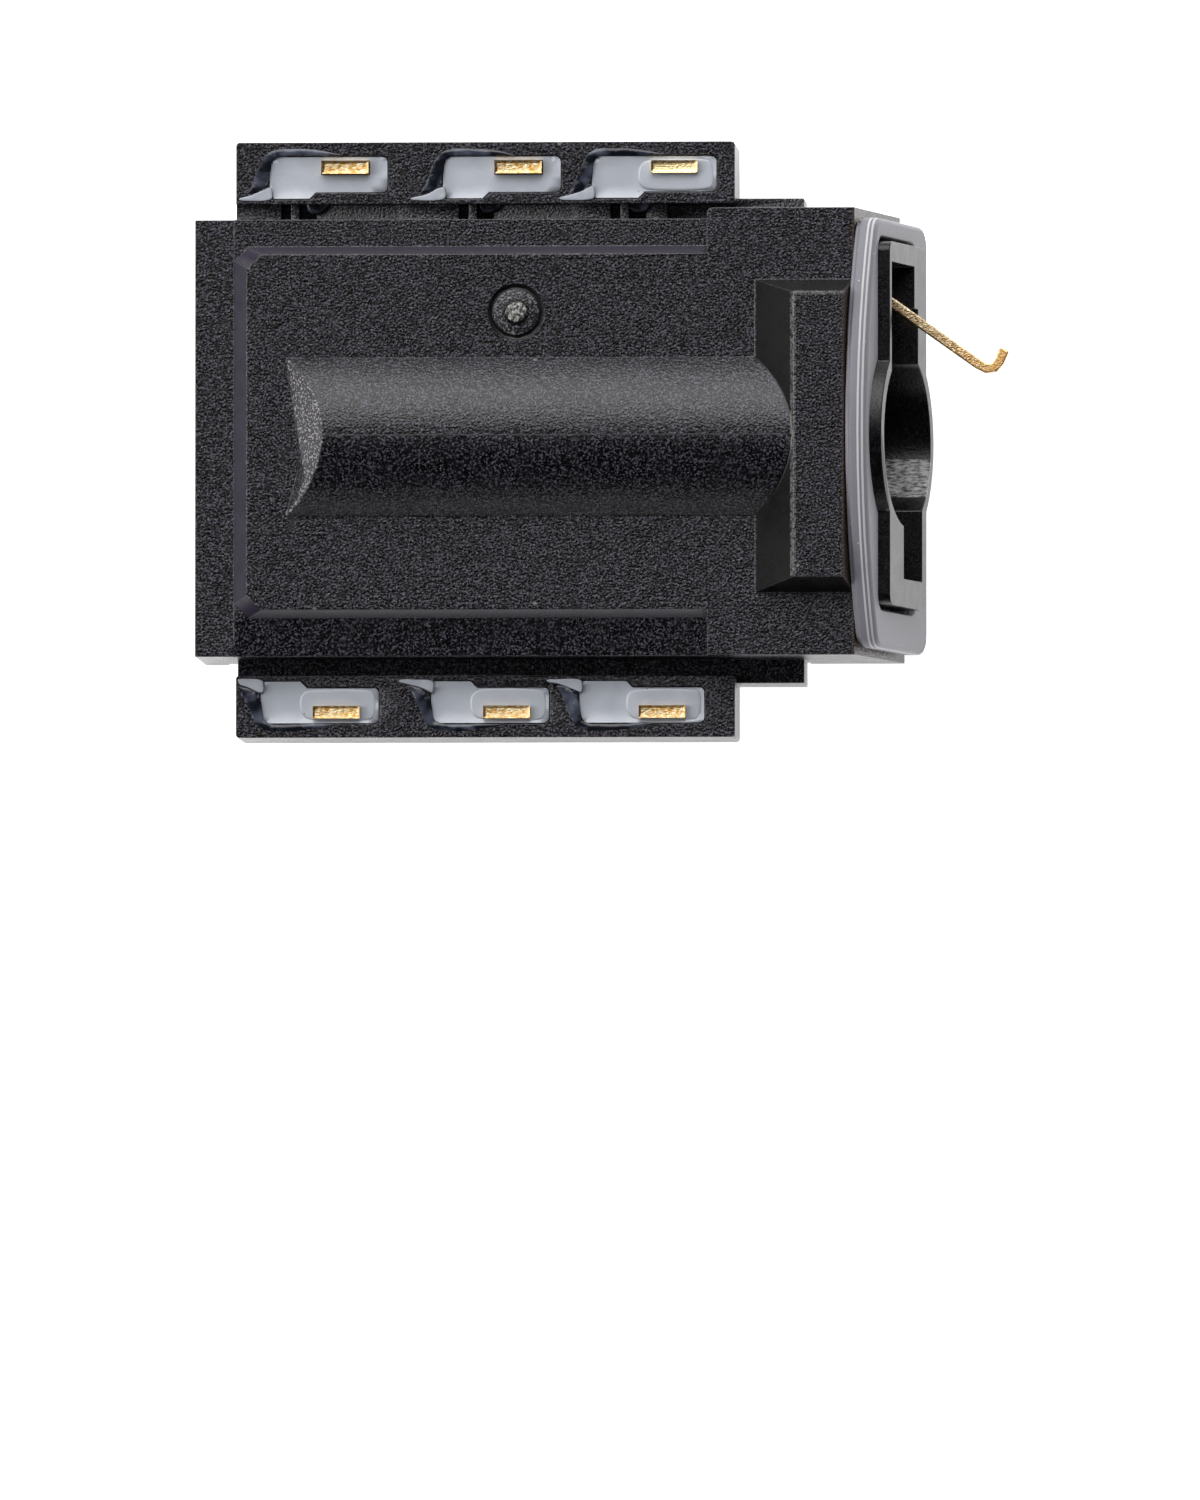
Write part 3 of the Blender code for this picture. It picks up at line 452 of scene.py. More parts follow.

# %% [markdown]
# ## Black moulding: grain, traces and a painted reflection
#
# The grain shows as grey flecks on near black, with a brighter spark here and there. The
# colour is then painted over, one mask at a time, as a model maker would. A streaked pale
# band is painted on the bore's floor, a painted reflection of the light its concave wall
# mirrors, which shows through the mouth. A thin dark brown line is painted round the
# gasket's foot, and the pins that pushed the moulding out of its tool left a ring under each wing.

# %% Moulding: grain, painted bore reflection, dark foot line and ejector rings
HIGHLIGHT_FROM, HIGHLIGHT_TO = -1.10 * MM, -0.30 * MM
STREAK_SIZE, STREAK_STRETCH = 0.05 * MM, (0.35, 1.0, 1.0)
FOOT_LINE_FROM, FOOT_LINE_TO = FOOT - 0.05 * MM, FOOT + 0.012 * MM
FOOT_LINE_RADIUS = BORE_RADIUS + 0.45 * MM
EJECTOR_X, EJECTOR_Y = REAR + 1.42 * MM, 5.20 * MM
EJECTOR_RADIUS = 0.45 * MM
UNDER_WINGS = 1.5 * MM

grain = use_group(tree, grain_group, place, size=GRAIN_SIZE)
tree.links.new(smooth, grain.inputs["Smooth"])
flecks = grain.outputs["Flecks"]
base = mix_colors(tree, flecks, (0.0, 0.0, 0.0004, 1), (0.070, 0.067, 0.088, 1))
base = mix_colors(tree, grain.outputs["Sparks"], base, (0.105, 0.102, 0.120, 1))

along = add_node(tree, "ShaderNodeMapping", {"Vector": place, "Scale": STREAK_STRETCH})
streaks = noise(tree, along.outputs["Vector"], 1 / STREAK_SIZE, detail=3.0, roughness=0.65)
# Painted reflection: a streaked pale band on the bore's floor, where its concave wall mirrors the key panel.
highlight_band = both(tree, between(tree, y, HIGHLIGHT_FROM, HIGHLIGHT_TO), under(tree, z, AXIS_HEIGHT))
bore_painted_highlight = both(tree, both(tree, bore_wall, highlight_band), stretch(tree, streaks, 4.0, -1.5))
base = mix_colors(tree, bore_painted_highlight, base, (0.60, 0.60, 0.61, 1))
# A thin dark brown line is painted on the housing's front face round the gasket's foot.
dark_foot_line = both(tree, between(tree, leaning, FOOT_LINE_FROM, FOOT_LINE_TO), over(tree, from_axis, FOOT_LINE_RADIUS))
base = mix_colors(tree, dark_foot_line, base, (0.035, 0.022, 0.016, 1))
plan = add_node(tree, "ShaderNodeCombineXYZ", {"X": x, "Y": y}).outputs["Vector"]
for sign in (-1, 1):
    from_pin = distance(tree, plan, (EJECTOR_X, sign * EJECTOR_Y, 0))
    ring = both(tree, under(tree, z, UNDER_WINGS),
                between(tree, from_pin, EJECTOR_RADIUS - MASK_REACH, EJECTOR_RADIUS))
    base = mix_colors(tree, ring, base, (0.07, 0.07, 0.075, 1))
print("painted: grain, rub, glue line, ejector rings")

# %% [markdown]
# ## Black moulding: facet, gate and seam
#
# The barrel's rear facet leans to the sky, so its grain shows pale; that light is painted
# into its flecks as a painted highlight. The plateau's bevel is a clean dark violet. The
# round gate mark has a groove, a speckled floor and a pit for its core. Its floor's flecks
# are painted paler, partly its own paler grain and partly painted light that fills the shade
# of its dish; the groove and the pit are painted plain black without grain, as painted shade.
# The tool's halves left a fine line along the barrel's ridge.

# %% Moulding: facet, bevel, gate and seam
BARREL_REAR = REAR + 1.88 * MM
GATE_X, GATE_Y = REAR + 6.59 * MM, 2.55 * MM
GATE_RADIUS = 0.57 * MM
GATE_GROOVE = 0.09 * MM
GATE_CORE = 0.27 * MM
GATE_EDGE = 0.02 * MM
SEAM_HALF_WIDTH = 0.014 * MM
SEAM_LOW, SEAM_HIGH = 4.62 * MM, 4.72 * MM
SEAM_FRONT = COLLAR_REAR + 0.7 * MM

# Painted highlight: the rear facet's flecks are painted pale for the sky light it leans to.
facet = both(tree, near(tree, math_node(tree, "SUBTRACT", x, climb), BARREL_REAR, MASK_REACH),
             over(tree, z, PLATEAU + MASK_REACH))
facet_color = mix_colors(tree, flecks, (0.030, 0.029, 0.032, 1), (0.30, 0.29, 0.305, 1))
base = mix_colors(tree, facet, base, facet_color)
base = mix_colors(tree, plateau_bevel, base, (0.026, 0.022, 0.036, 1))
from_gate = distance(tree, place, (GATE_X, GATE_Y, PLATEAU))
# The gate's floor flecks are painted paler: its own paler grain, and painted light that fills the shade of
# its dish.
gate_floor = between(tree, from_gate, GATE_CORE, GATE_RADIUS - GATE_GROOVE)
gate_color = mix_colors(tree, flecks, (0.010, 0.010, 0.012, 1), (0.15, 0.147, 0.16, 1))
base = mix_colors(tree, gate_floor, base, gate_color)
# Painted shade: the groove and the pit round the stub are painted plain black, with their grain painted out.
groove = between(tree, from_gate, GATE_RADIUS - GATE_GROOVE, GATE_RADIUS + GATE_EDGE)
gate_painted_shade = either(tree, groove, under(tree, from_gate, GATE_CORE))
base = mix_colors(tree, gate_painted_shade, base, (0.0005, 0.0005, 0.001, 1))
on_ridge = both(tree, near(tree, y, 0.0, SEAM_HALF_WIDTH), between(tree, z, SEAM_LOW, SEAM_HIGH))
seam = both(tree, on_ridge, under(tree, x, SEAM_FRONT))
base = mix_colors(tree, seam, base, (0.045, 0.045, 0.050, 1))
print("painted: facet, bevel, gate, seam")

# %% [markdown]
# ## Black moulding: wear, a painted highlight and dust
#
# Last come the marks of handling: rubbed edges, the pale crumbled edges of the collar's
# pad, which stands highest at the front, and a few specks of dust. The pad's pale edges are
# partly wear and partly a painted highlight of the light those edges catch. The roughness
# drifts in wide patches, and the grain's height becomes a bump of 0.018 mm.

# %% Moulding: wear, painted pad highlight, dust, sheen
PAD_REAR = COLLAR_REAR + COLLAR_RUN
PAD_HALF = COLLAR_HALF - COLLAR_SIDE_RUN
PAD_LENGTH = 1.05 * MM
PAD_EDGE_BEHIND, PAD_EDGE_AHEAD, PAD_SIDE_REACH = 0.07 * MM, 0.05 * MM, 0.06 * MM
PAD_EDGE_DEPTH = 0.09 * MM
BREAKUP_SIZE = 0.07 * MM
LEAST_ROUGH, ROUGH_DRIFT = 0.20, 0.16
GRAIN_DEPTH = 0.018 * MM

wear = use_group(tree, wear_group, place, width=0.035 * MM, amount=0.7)
base = mix_colors(tree, wear.outputs["Wear"], base, (0.17, 0.168, 0.18, 1))
# The pad's rear and side edges are painted pale and broken up: partly wear, partly a painted highlight.
pad_edge = both(tree, between(tree, x, PAD_REAR - PAD_EDGE_BEHIND, PAD_REAR + PAD_EDGE_AHEAD),
                between(tree, y, -PAD_HALF, PAD_HALF))
pad_side = both(tree, near(tree, y, PAD_HALF, PAD_SIDE_REACH),
                between(tree, x, PAD_REAR, PAD_REAR + PAD_LENGTH))
pad_edge_band = both(tree, either(tree, pad_edge, pad_side), over(tree, z, PAD_TOP - PAD_EDGE_DEPTH))
breakup_noise = noise(tree, place, 1 / BREAKUP_SIZE, detail=3.0, roughness=0.7)
pad_wear_and_highlight = both(tree, pad_edge_band, stretch(tree, breakup_noise, 6.0, -2.5))
base = mix_colors(tree, pad_wear_and_highlight, base, (0.13, 0.128, 0.122, 1))
dust = use_group(tree, dust_group, place, size=0.45 * MM, amount=0.05)
base = mix_colors(tree, dust.outputs["Specks"], base, (0.16, 0.16, 0.16, 1))
tree.links.new(base, shader.inputs["Base Color"])
sheen = math_node(tree, "MULTIPLY_ADD", grain.outputs["Patches"], ROUGH_DRIFT, LEAST_ROUGH)
tree.links.new(sheen, shader.inputs["Roughness"])
bump(tree, shader, grain.outputs["Height"], GRAIN_DEPTH)
print("material", black.name, "finished")

# %% [markdown]
# ## The other finishes
#
# The film is the same black as the moulding but sleeker, with soft creases. The gasket is
# grey silicone, paler in front of its two raised lines. The potting in the wells is milky
# and glossy, like skimmed milk. Where the resin ran out thin, the black plastic shows
# through: a spill is milky only where it lies thick, and a film of it is clear and dark,
# with a little haze. The contacts are gold on bronze: bright and patchy where they were
# sheared off, duller along the bent leaf, and browner towards its hook.

# %% Film
film_black, tree, shader, place = start_material("film", 0.28)
grain = use_group(tree, grain_group, place, size=0.06 * MM)
creases = noise(tree, place, 1 / (0.9 * MM), roughness=0.4, distortion=0.6)
wear = use_group(tree, wear_group, place, width=0.05 * MM, amount=0.5)
dust = use_group(tree, dust_group, place, size=0.35 * MM, amount=0.05)
base = mix_colors(tree, grain.outputs["Sparks"], (0.013, 0.013, 0.015, 1), (0.030, 0.030, 0.034, 1))
base = mix_colors(tree, wear.outputs["Wear"], base, (0.09, 0.09, 0.10, 1))
base = mix_colors(tree, dust.outputs["Specks"], base, (0.25, 0.25, 0.25, 1))
tree.links.new(base, shader.inputs["Base Color"])
faint_grain = math_node(tree, "MULTIPLY", grain.outputs["Height"], 0.35)
bump(tree, shader, math_node(tree, "MULTIPLY_ADD", creases, 2.0, faint_grain), 0.02 * MM)
print("material", film_black.name)

# %% Grey silicone
RIDGE_OFFSETS = (0.30 * MM, 0.39 * MM)
RIDGE_HALF_WIDTH = 0.026 * MM
PALE_SHARE = 0.8

silicone, tree, shader, place = start_material("grey_silicone", 0.50)
x, _, z = split(tree, place)
ahead = math_node(tree, "SUBTRACT", math_node(tree, "MULTIPLY_ADD", z, FRONT_SLOPE, x), FOOT)
clouds = noise(tree, place, 1 / (1.6 * MM), detail=3.0)
grain = use_group(tree, grain_group, place, size=GRAIN_SIZE)
dust = use_group(tree, dust_group, place, size=0.16 * MM, amount=0.14)
base = mix_colors(tree, clouds, (0.165, 0.165, 0.19, 1), (0.22, 0.22, 0.245, 1))
base = mix_colors(tree, over(tree, ahead, RIDGE_OFFSETS[1]), base, (0.25, 0.247, 0.27, 1))
# Painted highlight: each raised line is painted pale, as the light it catches.
for offset in RIDGE_OFFSETS:
    ridge = near(tree, ahead, offset, PALE_SHARE * RIDGE_HALF_WIDTH)
    base = mix_colors(tree, ridge, base, (0.54, 0.54, 0.56, 1))
base = mix_colors(tree, dust.outputs["Specks"], base, (0.52, 0.51, 0.50, 1))
tree.links.new(base, shader.inputs["Base Color"])
bump(tree, shader, grain.outputs["Height"], 0.006 * MM)
print("material", silicone.name)

# %% Milky resin
resin_milky, tree, shader, place = start_material("milky_resin", 0.22)
clouds = noise(tree, place, 1 / (0.7 * MM), detail=3.0, distortion=0.4)
dust = use_group(tree, dust_group, place, size=0.18 * MM, amount=0.06)
base = mix_colors(tree, clouds, (0.38, 0.41, 0.46, 1), (0.56, 0.59, 0.64, 1))
base = mix_colors(tree, dust.outputs["Specks"], base, (0.20, 0.20, 0.20, 1))
tree.links.new(base, shader.inputs["Base Color"])
bump(tree, shader, clouds, 0.02 * MM)
print("material", resin_milky.name)

# %% Thin resin, milky only where it lies thick
THIN_CLOUD_SIZE = 0.2 * MM
MILKY_FROM, MILKY_TO = WING_TOP + 0.010 * MM, WING_TOP + 0.033 * MM
THIN_CLOUD_LIFT = 0.012 * MM

resin_thin, tree, shader, place = start_material("thin_resin", 0.20)
z = split(tree, place)[2]
clouds = noise(tree, place, 1 / THIN_CLOUD_SIZE)
thick = rise(tree, math_node(tree, "MULTIPLY_ADD", clouds, THIN_CLOUD_LIFT, z), MILKY_FROM, MILKY_TO)
milky = either(tree, thick, under(tree, z, WING_TOP))
base = mix_colors(tree, milky, (0.035, 0.038, 0.055, 1), (0.46, 0.49, 0.54, 1))
tree.links.new(base, shader.inputs["Base Color"])
bump(tree, shader, clouds, 0.02 * MM)
print("material", resin_thin.name)

# %% Clear resin, dark over black plastic
resin_clear, tree, shader, place = start_material("clear_resin", 0.16)
ripples = noise(tree, place, 1 / (0.25 * MM))
hazy = stretch(tree, noise(tree, place, 1 / (0.5 * MM), distortion=0.5), 5.0, -2.3)
base = mix_colors(tree, ripples, (0.003, 0.004, 0.007, 1), (0.010, 0.012, 0.020, 1))
base = mix_colors(tree, hazy, base, (0.085, 0.095, 0.130, 1))
tree.links.new(base, shader.inputs["Base Color"])
bump(tree, shader, ripples, 0.03 * MM)
print("material", resin_clear.name)


# %% Gold, bright and worn
SCRATCH_SIZE, SCRATCH_STRETCH = 0.03 * MM, (0.6, 1.0, 0.15)
DULL_ROUGHER, BRIGHT_SMOOTHER = 0.12, -0.25


def start_gold(name, bright, dull, roughness, patch_size, scratch_depth):
    """Gold plating with fine drawn scratches and dull patches, and its colour so far."""
    material, tree, shader, place = start_material(name, roughness, metallic=1.0)
    drawn = add_node(tree, "ShaderNodeMapping", {"Vector": place, "Scale": SCRATCH_STRETCH})
    scratches = noise(tree, drawn.outputs["Vector"], 1 / SCRATCH_SIZE, detail=3.0, roughness=0.6)
    patches = noise(tree, place, 1 / patch_size, detail=3.0, roughness=0.65)
    sheen = math_node(tree, "MULTIPLY_ADD", patches, BRIGHT_SMOOTHER, roughness + DULL_ROUGHER)
    tree.links.new(sheen, shader.inputs["Roughness"])
    bump(tree, shader, scratches, scratch_depth)
    return material, tree, shader, place, mix_colors(tree, stretch(tree, patches, 3.5, -1.3), dull, bright)


gold_bright, tree, shader, place, base = start_gold(
    "gold_plate", (1.0, 0.90, 0.60, 1), (0.60, 0.31, 0.05, 1), 0.36, 0.085 * MM, 0.020 * MM)
tree.links.new(base, shader.inputs["Base Color"])

LEAF_ROOT = REAR + 10.30 * MM
HOOK_FROM, HOOK_TO = FOOT + 0.5 * MM, FOOT + 2.1 * MM
HOOK_SHARE = 0.7

gold_worn, tree, shader, place, base = start_gold(
    "worn_gold", (0.84, 0.72, 0.50, 1), (0.30, 0.18, 0.06, 1), 0.30, 0.08 * MM, 0.016 * MM)
x = split(tree, place)[0]
to_hook = rise(tree, x, HOOK_FROM, HOOK_TO, top=HOOK_SHARE, shape="LINEAR")
base = mix_colors(tree, to_hook, base, (0.80, 0.44, 0.13, 1))
base = mix_colors(tree, under(tree, x, LEAF_ROOT), base, (1.0, 0.80, 0.42, 1))
tree.links.new(base, shader.inputs["Base Color"])
print("materials", gold_bright.name, gold_worn.name)

# %% [markdown]
# ## Copying a solid before dressing it
#
# The solids come in as triangles with each corner split, so they shade flat. A copy of
# one is merged by distance, its flat faces are made whole again, and its edges get a
# small bevel, because no moulded or sheared edge is truly sharp. The solid itself stays
# as it is, hidden behind its dressed copy.

# %% Helpers for pieces
SAME_CORNER = 0.0005 * MM
SAME_BEVEL_CORNER = 0.0002 * MM
SAME_PLANE = math.radians(0.5)


def select_only(piece):
    """Make one object active and selected, and nothing else."""
    bpy.ops.object.select_all(action="DESELECT")
    piece.select_set(True)
    bpy.context.view_layer.objects.active = piece


def edit_all(piece):
    """Open one object for editing, with all of its mesh selected."""
    select_only(piece)
    bpy.ops.object.mode_set(mode="EDIT")
    bpy.ops.mesh.select_all(action="SELECT")


def copy_node(node_name, name):
    """A new object with a node's mesh, its corners merged and its flat faces whole."""
    mesh = nodes[node_name].data.copy()
    mesh.name = name
    mesh.materials.clear()
    piece = bpy.data.objects.new(name, mesh)
    bpy.context.scene.collection.objects.link(piece)
    edit_all(piece)
    bpy.ops.mesh.remove_doubles(threshold=SAME_CORNER)
    bpy.ops.mesh.dissolve_limited(angle_limit=SAME_PLANE)
    bpy.ops.object.mode_set(mode="OBJECT")
    return piece


def apply_modifier(piece, kind, **settings):
    """Add a modifier with its settings and apply it."""
    select_only(piece)
    modifier = piece.modifiers.new(kind.lower(), kind)
    for key, value in settings.items():
        setattr(modifier, key, value)
    bpy.ops.object.modifier_apply(modifier=modifier.name)


def round_edges(piece, width, segments=2, angle=35):
    """Bevel every edge sharper than an angle, and merge corners that end at the same place."""
    apply_modifier(piece, "BEVEL", width=width, segments=segments, limit_method="ANGLE",
                   angle_limit=math.radians(angle), use_clamp_overlap=False, miter_outer="MITER_ARC")
    edit_all(piece)
    bpy.ops.mesh.remove_doubles(threshold=SAME_BEVEL_CORNER)
    bpy.ops.object.mode_set(mode="OBJECT")


def finish_piece(piece, node_name, body, material, angle=35):
    """Give a piece its finish, slot and body; with a node's name, that node is hidden behind it."""
    select_only(piece)
    bpy.ops.object.shade_smooth_by_angle(angle=math.radians(angle))
    apply_modifier(piece, "WEIGHTED_NORMAL", keep_sharp=True, weight=80)
    piece.data.materials.clear()
    piece.data.materials.append(material)
    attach(piece, body)
    if node_name:
        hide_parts(node_name)
    print(piece.name, len(piece.data.polygons), "faces")


print("helpers for pieces ready")

# %% [markdown]
# ## The housing
#
# One black moulding. Its copy gets rounded edges 0.02 mm wide: about one pixel of the
# photograph, yet each edge draws the thin bright line that makes a moulding real.

# %% Housing
HOUSING_ROUNDING = 0.02 * MM

housing = copy_node("housing", "housing_dressed")
round_edges(housing, HOUSING_ROUNDING)
finish_piece(housing, "housing", "socket", black)

# %% [markdown]
# ## The gate's mark
#
# Molten plastic entered the mould in the middle of the round mark. When the sprue was torn
# off, it left a rough pale stub, a little lower than the plateau's rim round it. A flat
# ball, pushed about by a noise, looks as torn as that, which no clean primitive does.

# %% Torn plastic
torn, tree, shader, place = start_material("torn_plastic", 0.45)
tears = noise(tree, place, 1 / (0.06 * MM), detail=3.0, roughness=0.6)
base = mix_colors(tree, stretch(tree, tears, 6.0, -2.6), (0.04, 0.04, 0.04, 1), (0.42, 0.42, 0.39, 1))
tree.links.new(base, shader.inputs["Base Color"])
bump(tree, shader, tears, 0.03 * MM)
print("material", torn.name)

# %% Gate stub
STUB_RADIUS = 0.21 * MM
STUB_HEIGHT = 0.055 * MM
STUB_ROUGHNESS = 0.09 * MM
TEAR_SIZE = 0.10 * MM

bpy.ops.object.select_all(action="DESELECT")
bpy.ops.mesh.primitive_ico_sphere_add(subdivisions=5, radius=STUB_RADIUS)
stub = bpy.context.active_object
stub.name = "gate_stub"
for vertex in stub.data.vertices:
    level = PLATEAU + vertex.co.z * STUB_HEIGHT / STUB_RADIUS
    vertex.co = (GATE_X + vertex.co.x, GATE_Y + vertex.co.y, level)
tearing = bpy.data.textures.new("tearing", "CLOUDS")
tearing.noise_scale = TEAR_SIZE
tearing.noise_depth = 2
apply_modifier(stub, "DISPLACE", texture=tearing, texture_coords="LOCAL", direction="NORMAL",
               strength=STUB_ROUGHNESS, mid_level=0.5)
finish_piece(stub, None, "socket", torn, angle=60)

# %% [markdown]
# ## The gasket
#
# A soft grey ring, moulded in a tool whose halves meet just behind its front edge. There
# the silicone shows two fine raised lines that run all the way round. The ring is cut by
# planes parallel to its slanted face, and each middle line is fattened outwards.

# %% Gasket
FACE_NORMAL = Vector((1, 0, FRONT_SLOPE)).normalized()
RIDGE_HEIGHT = 0.035 * MM
GASKET_ROUNDING = 0.04 * MM
ON_THE_CUT = 0.002 * MM


def from_face(point):
    """How far a point lies ahead of the housing's slanted front face, along X."""
    return point.x + point.z * FRONT_SLOPE - FOOT


gasket = copy_node("front_gasket", "gasket_dressed")
round_edges(gasket, GASKET_ROUNDING, segments=3, angle=30)
for offset in RIDGE_OFFSETS:
    for shift in (-RIDGE_HALF_WIDTH, 0, RIDGE_HALF_WIDTH):
        edit_all(gasket)
        bpy.ops.mesh.bisect(plane_co=(FOOT + offset + shift, 0, 0), plane_no=FACE_NORMAL)
        bpy.ops.object.mode_set(mode="OBJECT")
outer_low, outer_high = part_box("front_gasket")
middle = Vector((0, (outer_low.y + outer_high.y) / 2, AXIS_HEIGHT))
for vertex in gasket.data.vertices:
    on_line = any(abs(from_face(vertex.co) - offset) < ON_THE_CUT for offset in RIDGE_OFFSETS)
    away = Vector((0, vertex.co.y - middle.y, vertex.co.z - middle.z))
    if on_line and vertex.normal.dot(away) > 0:
        outwards = Vector((0, vertex.normal.y, vertex.normal.z)).normalized()
        vertex.co += outwards * RIDGE_HEIGHT
finish_piece(gasket, "front_gasket", "socket", silicone)

# %% [markdown]
# ## The film
#
# A thin black film is laid over the underside by hand, so it isn't quite flat: it holds
# soft bulges, and its edges lift a little; this copy shows only the bulges. Cuts every 0.15 mm
# give the flat film enough points to bend, and a clouds texture pushes them by a few
# hundredths of a millimetre.

# %% Film
FILM_SPACING = 0.15 * MM
FILM_BULGE = 0.030 * MM
BULGE_SIZE = 1.1 * MM


def cut_grid(piece, low, high, spacing):
    """Cut a piece by upright planes along X and Y, so that its flat faces can bend."""
    edit_all(piece)
    for axis, normal in ((0, (1, 0, 0)), (1, (0, 1, 0))):
        cuts = int((high[axis] - low[axis]) / spacing)
        for k in range(1, cuts):
            cut_at = [0.0, 0.0, 0.0]
            cut_at[axis] = low[axis] + k * (high[axis] - low[axis]) / cuts
            bpy.ops.mesh.select_all(action="SELECT")
            bpy.ops.mesh.bisect(plane_co=cut_at, plane_no=normal)
    bpy.ops.object.mode_set(mode="OBJECT")


film = copy_node("sealing_film", "film_dressed")
cut_grid(film, *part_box("sealing_film"), FILM_SPACING)
bulges = bpy.data.textures.new("film_bulges", "CLOUDS")
bulges.noise_scale = BULGE_SIZE
bulges.noise_depth = 2
apply_modifier(film, "DISPLACE", texture=bulges, texture_coords="LOCAL", direction="Z",
               strength=-2 * FILM_BULGE, mid_level=0.5)
finish_piece(film, "sealing_film", "socket", film_black, angle=40)

# %% [markdown]
# ## The potting
#
# A clear resin turned milky seals each well round its terminal. It was poured from a
# needle, and it wets the walls: its top face is cut fine, and its middle is eased down
# between them.

# %% Resin fills
FILL_SPACING = 0.07 * MM
FILL_CLIMB = 0.15 * MM
FILL_SAG = 0.045 * MM
AT_THE_TOP = 0.01 * MM


def ease(share):
    """A smooth step from 0 to 1."""
    share = min(max(share, 0.0), 1.0)
    return share * share * (3 - 2 * share)


resin_nodes = sorted(name for name in nodes if name.startswith("resin_"))
for node_name in resin_nodes:
    fill = copy_node(node_name, node_name + "_dressed")
    low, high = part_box(node_name)
    cut_grid(fill, low, high, FILL_SPACING)
    near_side, far_side = sorted((abs(low.y), abs(high.y)))
    for vertex in fill.data.vertices:
        if vertex.co.z > high.z - AT_THE_TOP:
            to_wall = min(vertex.co.x - low.x, high.x - vertex.co.x,
                          abs(vertex.co.y) - near_side, far_side - abs(vertex.co.y))
            vertex.co.z -= FILL_SAG * ease(to_wall / FILL_CLIMB)
    finish_piece(fill, node_name, "socket", resin_milky, angle=60)

# %% [markdown]
# ## Drops that ran over
#
# Where the needle came in, at each well's rear inner corner, some resin ran over the edge
# and wetted the black plastic. A drop is a flat outline: a ring of points is filled,
# extruded, inset twice for its round shoulder, and subdivided. A wet edge is a narrow
# grid laid along a path and arched across. Both can come out inside out when the outline
# runs the other way round, so the sign of their volume is tested.

# %% Helpers for drops
# A drop has a wall and two shoulders: rises are shares of its height, widths are in rims.
DROP_WALL = 0.55
DROP_SHOULDERS = ((1.0, 0.35), (1.6, 0.10))
BEAD_ACROSS = 4
BEAD_SKIN = 0.02 * MM


def face_outwards(piece):
    """Make a drop's faces agree, and turn them all over if they enclose a negative volume."""
    edit_all(piece)
    bpy.ops.mesh.normals_make_consistent(inside=False)
    bpy.ops.object.mode_set(mode="OBJECT")
    start = piece.data.vertices[0].co
    volume = sum((face.center - start).dot(face.normal) * face.area for face in piece.data.polygons)
    if volume < 0:
        bpy.ops.object.mode_set(mode="EDIT")
        bpy.ops.mesh.flip_normals()
        bpy.ops.object.mode_set(mode="OBJECT")


def finish_drop(piece, material):
    """Turn a drop's faces outwards, round it, and give it its finish."""
    face_outwards(piece)
    apply_modifier(piece, "SUBSURF", levels=2, render_levels=2)
    finish_piece(piece, None, "socket", material, angle=80)


def add_drop(name, outline, material, slot_name, base_level, height, rim=0.03 * MM):
    """A flat drop of an outline: a filled ring of points, extruded, inset and subdivided."""
    bpy.ops.object.select_all(action="DESELECT")
    bpy.ops.mesh.primitive_circle_add(vertices=len(outline), radius=MM, fill_type="NGON")
    drop = bpy.context.active_object
    drop.name = name
    for vertex, (x, y) in zip(drop.data.vertices, outline):
        vertex.co = (x, y, base_level)
    edit_all(drop)
    bpy.ops.mesh.extrude_region_move(TRANSFORM_OT_translate={"value": (0, 0, height * DROP_WALL)})
    for width, share in DROP_SHOULDERS:
        bpy.ops.mesh.inset(thickness=width * rim)
        bpy.ops.transform.translate(value=(0, 0, height * share))
    bpy.ops.object.mode_set(mode="OBJECT")
    finish_drop(drop, material)


def add_bead(name, path, widths, material, slot_name, base_level, height):
    """A wet bead along a path: a narrow grid laid on it, arched across, and thickened downwards."""
    steps = len(path) - 1
    bpy.ops.object.select_all(action="DESELECT")
    bpy.ops.mesh.primitive_grid_add(x_subdivisions=steps, y_subdivisions=BEAD_ACROSS, size=1)
    bead = bpy.context.active_object
    bead.name = name
    for vertex in bead.data.vertices:
        step = round((vertex.co.x + 0.5) * steps)
        shift = 2 * vertex.co.y
        before, after = Vector(path[max(step - 1, 0)]), Vector(path[min(step + 1, steps)])
        forward = (after - before).normalized()
        spot = Vector(path[step]) + Vector((-forward.y, forward.x)) * shift * widths[step]
        vertex.co = (spot.x, spot.y, base_level + height * (1 - shift ** 2))
    edit_all(bead)
    bpy.ops.mesh.extrude_region_move(TRANSFORM_OT_translate={"value": (0, 0, -BEAD_SKIN)})
    bpy.ops.object.mode_set(mode="OBJECT")
    finish_drop(bead, material)


def wobble(points, amount, seed):
    """Shift each point of an outline a little, so that no two drops are alike."""
    dice = random.Random(seed)
    return [(x + dice.uniform(-amount, amount), y + dice.uniform(-amount, amount)) for x, y in points]


print("helpers for drops ready")

# %% [markdown]
# ## Spills, wet edges and second drops
#
# Each outline is drawn once, in millimetres from a corner of the well or from its pin,
# and wobbled a little for each of the six. A second drop followed round each right pin
# and the left front one. On the left, some resin also ran down into the channel.

